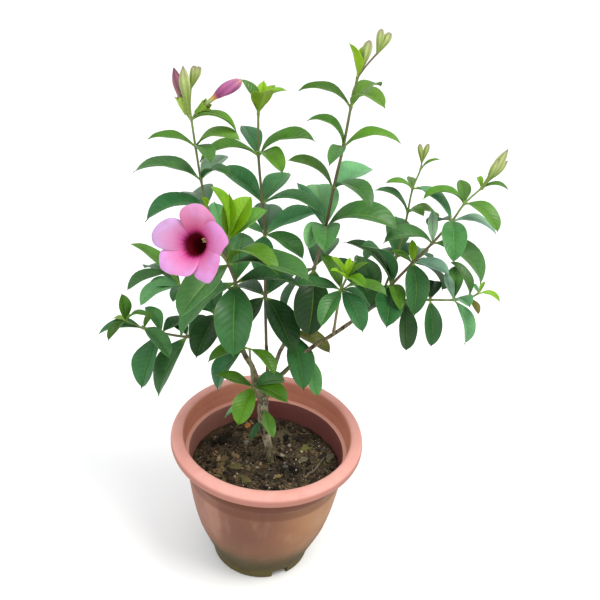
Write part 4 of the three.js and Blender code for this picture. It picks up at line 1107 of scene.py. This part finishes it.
BLOOM_FOOT = (-57.0, -45.1, 404.5)
BLOOM_FACE = (-73.7, -80.8, 428.2)
THROAT_RADIUS = 9.8
THROAT_HEIGHT = 30.5
PETAL_SPREAD = 26
PETAL_RISE = 13.5
PETAL_THICKNESS = 0.45
PETAL_ROWS = 22
# The last numbers of each petal paint light and shade on it: lighter where light falls on the petal, darker
# where it lies in shade.
PETALS = [
    {"lift": 1.2, "tilt": 1.2, "crease": None, "painted_light": (0.94, 0.72, 0.82), "margin": [
        (326, 11.5), (329, 21), (332, 29.2), (343, 31.7), (352, 35.2), (361, 34.4), (377, 31.6), (393, 27.6),
        (403, 21), (412, 11.5)]},
    {"lift": 0, "tilt": 1.5, "crease": 60, "painted_light": (0.92, 0.78, 0.72), "margin": [
        (20, 11.5), (27, 21), (35, 27.5), (49, 30.7), (62, 33.5), (76, 33.5), (87, 32.3), (99, 30),
        (108, 24.8), (112, 18), (117, 11.5)]},
    {"lift": 0, "tilt": 1.5, "crease": None, "painted_light": (0.84, 1.0, 0.9), "margin": [
        (101, 11.5), (109, 21), (118, 27), (127, 30.5), (141, 34.7), (151, 37.2), (159, 38), (167, 36.2),
        (174, 33), (183, 25.6), (192, 17), (199, 11.5)]},
    {"lift": 0, "tilt": 1.5, "crease": None, "painted_light": (1.0, 0.97, 1.0), "margin": [
        (172, 11.5), (178, 22), (184, 29), (193, 31.6), (202, 33.4), (208, 34.6), (224, 31.9), (241, 28.8),
        (258, 27.7), (268, 25.6), (278, 20.5), (289, 11.5)]},
    {"lift": -1.2, "tilt": 0.8, "crease": None, "painted_light": (0.93, 0.77, 0.84), "margin": [
        (256, 11.5), (263, 22), (272, 29), (282, 33.6), (289, 37.4), (300, 35.8), (315, 32.9), (327, 30.7),
        (338, 26), (347, 18), (352, 11.5)]},
]


def stood(places, foot, towards):
    """Points in millimetres, turned so that +Z runs from foot to towards, with the origin at foot."""
    axis = (Vector(towards) - Vector(foot)).normalized()
    turn = np.array(Vector((0, 0, 1)).rotation_difference(axis).to_matrix())
    return np.asarray(places, float) @ turn.T + np.array(foot, float)


def colour_run(look, value, stops):
    """A colour that changes along value through stops of (place, colour)."""
    made = node(look, "ValToRGB", [(0, value)])
    band = made.color_ramp
    stops = [(place, tone(*colour)) for place, colour in stops]
    band.elements[0].position, band.elements[0].color = stops[0]
    band.elements[1].position, band.elements[1].color = stops[-1]
    for place, colour in stops[1:-1]:
        band.elements.new(place).color = colour
    return made.outputs[0]


def smooth(value):
    value = min(max(value, 0), 1)
    return value * value * (3 - 2 * value)


def petal(margin, lift, tilt, crease, painted_light):
    """A petal that spreads from the throat to its margin, which is points of (azimuth, reach). It is
    raised by lift, and by tilt on its leading side, and it bends down where its azimuth is under its
    crease. Its last numbers multiply the petal colour, a painted light and shade that makes it
    lighter or darker as light falls on it."""
    corners = [(math.cos(math.radians(a)) * r, math.sin(math.radians(a)) * r, 0, 0) for a, r in margin]
    outline = spline(corners, 1.6)
    middle = math.radians((margin[0][0] + margin[-1][0]) / 2)
    half_span = math.radians(margin[-1][0] - margin[0][0]) / 2
    upper, lower, shares = [], [], []
    for step in np.linspace(0, 1, PETAL_ROWS):
        for px, py, _, _ in outline:
            azimuth = (math.atan2(py, px) - middle + math.pi) % (2 * math.pi) - math.pi
            reach = THROAT_RADIUS - 0.3 + (math.hypot(px, py) - THROAT_RADIUS + 0.3) * step
            aside = azimuth / half_span
            spread = min(max((reach - THROAT_RADIUS) / PETAL_SPREAD, 0), 1.2)
            height = THROAT_HEIGHT + PETAL_RISE * (1 - (1 - min(spread, 1)) ** 2.2) - 2 * spread ** 4
            height += (lift + tilt * aside - 2.3 * aside * aside) * smooth(spread * 2.2)
            height += 0.35 * math.sin(9 * azimuth + 2 * middle) * smooth(step * 1.3) - 0.9 * step ** 7
            if crease is not None:
                height -= 0.34 * reach * max(0, math.radians(crease) - middle - azimuth) * smooth(spread * 2)
            turn = azimuth + middle
            place = np.array([math.cos(turn) * reach, math.sin(turn) * reach, height])
            upper.append(place + (0, 0, PETAL_THICKNESS / 2))
            lower.append(place - (0, 0, PETAL_THICKNESS / 2))
            shares.append((aside, spread))
    faces = [(a, d, c, b) for a, b, c, d in sheet_faces(PETAL_ROWS, len(outline))]
    return np.vstack([upper, lower]), faces, both_sides(shares), [(*painted_light, 1)] * (2 * len(shares))


petal_look = new_finish("petal", 0.15)
petal_shader = petal_look.node_tree.nodes["Principled BSDF"]
petal_shader.inputs["Sheen Weight"].default_value = 0.06
petal_shader.inputs["Sheen Roughness"].default_value = 0.5
petal_shader.inputs["Sheen Tint"].default_value = (1.0, 0.85, 1.0, 1)
across, along, upper = marks_of(petal_look)
fan = node(petal_look, "CombineXYZ", [
    (0, times(petal_look, across, 9.0)), (1, times(petal_look, along, 1.1)), (2, upper),
]).outputs[0]
threads = node(petal_look, "TexNoise", [("Vector", fan), ("Scale", 1.6), ("Detail", 3.0)]).outputs["Fac"]
flush = grain(petal_look, 60, 2)
wander = times(petal_look, calc(petal_look, "SUBTRACT", threads, 0.5), 0.14)
front = colour_run(petal_look, plus(petal_look, along, wander), [
    (0.0, (92, 0, 36)), (0.03, (124, 8, 68)), (0.07, (166, 46, 116)), (0.14, (188, 82, 140)),
    (0.3, (194, 112, 160)), (0.6, (195, 130, 177)), (1.0, (194, 138, 187)),
])
lilac = times(petal_look, ramp(petal_look, flush, 0.42, 0.62), ramp(petal_look, along, 0.35, 0.7, 0, 0.7))
front = mixed(petal_look, lilac, front, tone(200, 150, 208))
front = wash(petal_look, front, tone(186, 70, 134), threads, 0.56, 0.7, 0.12)
back = colour_run(petal_look, along, [
    (0.0, (104, 10, 44)), (0.06, (170, 84, 124)), (0.4, (208, 128, 172)), (1.0, (214, 146, 194)),
])
shade = mixed(petal_look, upper, back, front)
shade = mixed(petal_look, 1.0, shade, pigment_of(petal_look), "MULTIPLY")
connect(petal_look, shade, ramp(petal_look, flush, 0.3, 0.7, 0.5, 0.62), threads, 0.0002)

parts = []
for values in PETALS:
    places, faces, marks_here, colours = petal(**values)
    parts.append((stood(places, BLOOM_FOOT, BLOOM_FACE), faces, marks_here, colours))
places, faces, marks_here, colours = gather_blades(parts)
petals = make_piece("bloom_petals", places, faces, petal_look, 60, marks_here, colours)

FUNNEL_OUTLINE = [
    (0, 0), (3.0, 0), (3.3, 0.6), (3.4, 4), (3.8, 9), (4.8, 13), (6.2, 17), (7.4, 21), (8.6, 25),
    (9.8, 29), (10.3, 30.1), (10.1, 30.25), (9.6, 30.2), (9.2, 29.6), (8.6, 28), (7.4, 25), (6.3, 21.2),
    (5.2, 17.6), (3.4, 13), (0, 10),
]
FUNNEL_SIDES = 80
FUNNEL_LENGTH = 31
INNER_RINGS = 9


def fluted(radius, height, turn):
    """Five shallow flutes down the funnel, where its petals are fused."""
    return 0.035 * radius * math.cos(5 * turn) * min(1, height / 16)


places, faces = lathe(FUNNEL_OUTLINE, FUNNEL_SIDES, fluted)
inner_from = (len(FUNNEL_OUTLINE) - 2 - INNER_RINGS) * FUNNEL_SIDES
marks_here = [(0, p[2] / FUNNEL_LENGTH, 1 if i >= inner_from else 0) for i, p in enumerate(places)]
funnel_look = new_finish("flower_tube", 0.1)
_, along, upper = marks_of(funnel_look)
silk = grain(funnel_look, 240, 3)
outside = colour_run(funnel_look, along, [
    (0.0, (196, 206, 140)), (0.35, (214, 176, 168)), (1.0, (208, 120, 168)),
])
throat = colour_run(funnel_look, along, [
    (0.0, (66, 0, 2)), (0.6, (80, 0, 4)), (0.82, (92, 0, 18)), (1.0, (70, 0, 24)),
])
outside = wash(funnel_look, outside, tone(150, 60, 90), silk, 0.5, 0.7, 0.2)
shade = mixed(funnel_look, upper, outside, throat)
connect(funnel_look, shade, ramp(funnel_look, silk, 0.3, 0.7, 0.6, 0.75), silk, 0.0002)
funnel = make_piece("bloom_funnel", stood(places, BLOOM_FOOT, BLOOM_FACE), faces, funnel_look, 60, marks_here)
for piece in (petals, funnel):
    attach(piece, "root")
    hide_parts("bloom")


# Throat hairs. A tuft of cream and brown hairs that closes part of the funnel at its right.
# Each stands at an azimuth, a radius and a height of the funnel.

HAIRS = [(2, 10.6, 31.6), (10, 10.8, 32), (18, 10.6, 31.6), (24, 10.0, 30.8), (14, 9.8, 30), (6, 10.2, 30.8)]
hairs = []
for azimuth, radius, height in HAIRS:
    out = Vector((math.cos(math.radians(azimuth)), math.sin(math.radians(azimuth)), 0))
    foot, tip = out * radius + Vector((0, 0, height)), out * (radius - 2.4) + Vector((0, 0, height + 2.2))
    foot, tip = stood([foot, tip], BLOOM_FOOT, BLOOM_FACE)
    hairs.append(tube([(*foot, 0.5), (*((foot + tip) / 2 + (0, 0, 0.4)), 0.42), (*tip, 0.25)], 6, 0.8))
hairs = gather(hairs)
tuft_look = new_finish("cream_hairs", 0.3, 0.7)
tuft_grain = grain(tuft_look, 900, 3)
connect(tuft_look, wash(tuft_look, tone(150, 120, 84), tone(190, 170, 126), tuft_grain, 0.35, 0.65))
tuft = make_piece("throat_hairs", *hairs[:2], tuft_look, 60)
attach(tuft, "root")


# Calyxes. Each flower and flower bud stands in a green cup of five pointed sepals, paler
# than the leaves, on a thin stalk.

FURLED_FOOT, FURLED_TIP = (-77.2, 6, 508.8), (-40.2, 0, 541.6)
ROSE_FOOT, ROSE_TIP = (-88.2, 9.5, 506.4), (-98.8, 12, 543.5)


def sepal_half_width(length):
    """Broad sepals with their widest part above the middle, and a short point."""
    return lambda t: max(length * 0.27 * math.sin(math.pi * min(t * 0.96 + 0.04, 1) ** 1.15) ** 0.75, 0.2)


def calyx(foot, towards, radius, length, flare, pigment, first=20):
    """Five sepals round the foot of a flower. flare is how far they lean out at their tips."""
    parts, colour = [], (*tone(*pigment)[:3], 0.6)
    for k in range(5):
        turn = math.radians(72 * k + first)
        base = (math.cos(turn) * (radius - 0.6), math.sin(turn) * (radius - 0.6), -1.6)
        places, faces, marks_here = blade(
            base, 72 * k + first, length, 76, flare, 26, sepal_half_width(length),
            lambda t: 0.5 if t < 0.9 else 0.3, 0.12, rows=14, columns=np.linspace(-1, 1, 9),
        )
        parts.append((stood(places, foot, towards), faces, marks_here, [colour] * len(places)))
    places, faces = lathe([
        (0, -3), (1.2, -3), (1.7, -2.7), (radius - 0.3, -1.6), (radius + 0.3, 0.2), (radius + 0.2, 1.4),
        (0, 1.2),
    ], 24)
    marks_here = np.array([(0.5, 0.4, 1)] * len(places))
    parts.append((stood(places, foot, towards), faces, marks_here, [colour] * len(places)))
    return parts


cups = calyx(BLOOM_FOOT, BLOOM_FACE, 3.6, 12, 10, (110, 150, 54))
cups += calyx(FURLED_FOOT, FURLED_TIP, 2.3, 14, 10, (104, 142, 30), 52)
cups += calyx(ROSE_FOOT, ROSE_TIP, 2.3, 17, -4, (140, 170, 62), -90)
places, faces, marks_here, colours = gather_blades(cups)
calyxes = make_piece("flower_calyxes", places, faces, leaf_look, 55, marks_here, colours)
FLOWER_STALKS = [
    [(-43, -34, 382, 1.2), (-48, -37, 392, 1.2), (-56.0, -43, 402.8, 1.5)],
    [(-83, 8, 499, 1.0), (-81, 7.4, 503, 1.0), (-78.2, 6.2, 507.7, 1.2)],
    [(-83, 8, 499, 1.0), (-85.6, 8.6, 502.4, 1.0), (-87.9, 9.3, 505.4, 1.2)],
    [(-83, 8, 499, 0.9), (-84.6, 10, 512, 0.9), (-84.3, 11, 527, 1.0)],
]
stalks = gather([tube(run, 12, 1.5, None, plain(122, 142, 72)) for run in FLOWER_STALKS])
flower_stalks = make_piece("flower_stalks", *stalks[:2], stem_look, 70, colours=stalks[2])
for piece in (calyxes, flower_stalks):
    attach(piece, "root")
    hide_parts("shoot_left_flowering")


# Flower buds. One furled bud, a twisted spindle of pink petals on a yellow neck, and one
# younger bud, pointed and dusky rose.

FURLED_SHAPE = [
    (0, 0.36), (0.2, 0.36), (0.38, 0.42), (0.48, 0.7), (0.64, 1), (0.8, 0.98), (0.93, 0.72), (1, 0.2),
]
ROSE_SHAPE = [(0, 0.5), (0.2, 0.72), (0.45, 0.9), (0.66, 1), (0.84, 0.66), (0.95, 0.28), (1, 0.1)]


def bud(foot, tip, girth, shape, colour_at, flutes, twist, depth, sides=40, flat=1.0, notch=0.0,
        arch=0.0):
    """A bud from foot to tip with twisted flutes, arched up by arch mm. Its shape is pairs of a share
    of its length and of its half girth, and colour_at gives its colour along and round it."""
    length = (Vector(tip) - Vector(foot)).length
    outline = spline([(t * length, share * girth / 2, 0, 0) for t, share in shape], 1.4)
    places, colours = [], []
    for height, radius, _, _ in outline:
        t = height / length
        for k in range(sides):
            turn = 2 * math.pi * k / sides
            wave = math.cos(flutes * (turn + twist * FULL_TURN * t))
            swell = 1 + depth * wave * min(1, 4 * t)
            dip = notch * max(0, t - 0.75) * 4 * (1 - abs(math.cos(turn))) ** 2
            wide = radius * swell
            places.append((wide * math.cos(turn), wide * math.sin(turn) * flat, height - dip))
            colours.append(colour_at(t, wave))
    places += [(0, 0, 0), (0, 0, length + 0.2 - notch)]
    colours += [colour_at(0, 0), colour_at(1, 0)]
    raised = [arch * math.sin(math.pi * min(max(p[2] / length, 0), 1)) for p in places]
    places = stood(places, foot, tip) + np.c_[np.zeros((len(raised), 2)), raised]
    return places, capped_rings(len(outline), sides), colours


def between(stops, t):
    """The colour at t on a run of (place, colour)."""
    for (a, first), (b, second) in zip(stops, stops[1:]):
        if t <= b:
            share = (t - a) / (b - a)
            return [x * (1 - share) + y * share for x, y in zip(tone(*first), tone(*second))]
    return list(tone(*stops[-1][1]))


def bud_colours(stops, dimmed, painted_groove_shade):
    """A bud's colour along stops of (place, colour), dimmed, with a painted shade in the grooves
    between its flutes and their ridges lighter, by its last number.
    """
    return lambda t, wave: [c * (dimmed + painted_groove_shade * wave) for c in between(stops, t)[:3]] + [1]


furled_colour = bud_colours([
    (0, (150, 168, 96)), (0.3, (168, 180, 112)), (0.37, (208, 170, 78)), (0.43, (188, 118, 98)),
    (0.48, (146, 60, 108)), (0.66, (168, 84, 134)), (0.86, (176, 100, 148)), (0.96, (176, 112, 134)),
    (1, (176, 134, 118)),
], 0.84, 0.16)
rose_colour = bud_colours([
    (0, (150, 160, 90)), (0.3, (166, 138, 116)), (0.5, (152, 108, 106)), (0.72, (150, 92, 110)),
    (0.92, (122, 68, 86)), (1, (70, 38, 52)),
], 0.8, 0.22)

bud_look = new_finish("furled_petals", 0.35)
pigment = pigment_of(bud_look)
silk = grain(bud_look, 420, 3)
dusky = mixed(bud_look, 1.0, pigment, (0.72, 0.62, 0.7, 1), "MULTIPLY")
shade = wash(bud_look, pigment, dusky, silk, 0.35, 0.7, 0.3)
connect(bud_look, shade, ramp(bud_look, silk, 0.3, 0.7, 0.45, 0.6), silk, 0.0002)
furled_parts = bud(FURLED_FOOT, FURLED_TIP, 10.4, FURLED_SHAPE, furled_colour, 5, 0.3, 0.07, arch=2.2)
furled = make_piece("furled_flower_bud", *furled_parts[:2], bud_look, 70, colours=furled_parts[2])
rose_parts = bud(ROSE_FOOT, ROSE_TIP, 8.6, ROSE_SHAPE, rose_colour, 4, 0.22, 0.12)
rose = make_piece("rose_flower_bud", *rose_parts[:2], bud_look, 70, colours=rose_parts[2])
for piece, cad_node in ((furled, "bud_furled"), (rose, "bud_rose")):
    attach(piece, "root")
    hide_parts(cad_node)


# Green buds. Pale green unopened buds at the shoot tips, single or in pairs, ribbed along
# their length, with darker points. A bud is (foot, tip, girth, shape, flatness, notch).

STALKED = [(0, 0.4), (0.28, 0.42), (0.45, 0.78), (0.68, 1), (0.86, 0.66), (0.96, 0.24), (1, 0.08)]
BLUNT = [(0, 0.3), (0.3, 0.62), (0.55, 0.9), (0.76, 1), (0.92, 0.74), (1, 0.25)]
GREEN_BUDS = {
    "shoot_left_flowering": [
        ((-85.0, 3.5, 506.1), (-89.3, 0, 550.1), 9.0, STALKED, 0.85, 0),
        ((-84.3, 11, 526), (-80.6, 10, 547.7), 6.2, BLUNT, 0.6, 1.5),
        ((-84.1, 11, 527), (-76.6, 12, 546.5), 6.0, BLUNT, 0.6, 1.5),
    ],
    "shoot_right_tall": [
        ((70, 0, 573), (71.4, -1, 594.5), 6.2, BLUNT, 0.7, 0),
        ((70.5, 0, 574.5), (79, 1, 591.5), 6.6, BLUNT, 0.7, 1),
        ((57, 0, 556), (63, 0, 584), 8, BLUNT, 0.7, 0),
    ],
    "shoot_right_thin": [
        ((125, 51, 457), (121, 50, 475.6), 5, BLUNT, 0.8, 0),
        ((125, 51, 457), (129, 52, 475.6), 5, BLUNT, 0.8, 0),
    ],
    "shoot_right_budded": [
        ((177, 15, 452), (194, 15, 492.5), 8.4, STALKED, 0.9, 0.8),
        ((179, 14, 456), (187, 11, 485), 6.4, STALKED, 0.7, 0.8),
        ((179, 16, 456), (196.5, 19, 480), 6.4, STALKED, 0.7, 0.8),
    ],
}
green_colour = bud_colours([
    (0, (122, 142, 64)), (0.3, (130, 154, 66)), (0.75, (168, 184, 108)), (0.93, (156, 160, 114)),
    (1, (120, 104, 88)),
], 0.84, 0.2)
TALL_STALK = [(56, 0, 552, 0.8), (62, 0, 562.5, 0.75), (70, 0, 574, 0.9)]
for cad_node, buds_here in GREEN_BUDS.items():
    parts = [
        bud(foot, tip, girth, shape, green_colour, 5, 0.1, 0.09, 30, flat, notch)
        for foot, tip, girth, shape, flat, notch in buds_here
    ]
    if cad_node == "shoot_right_tall":
        parts.append(tube(TALL_STALK, 12, 1.5, None, plain(112, 96, 76)))
    group = gather(parts)
    green_buds = make_piece(cad_node + "_buds", *group[:2], bud_look, 70, colours=group[2])
    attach(green_buds, "root")
    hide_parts(cad_node)
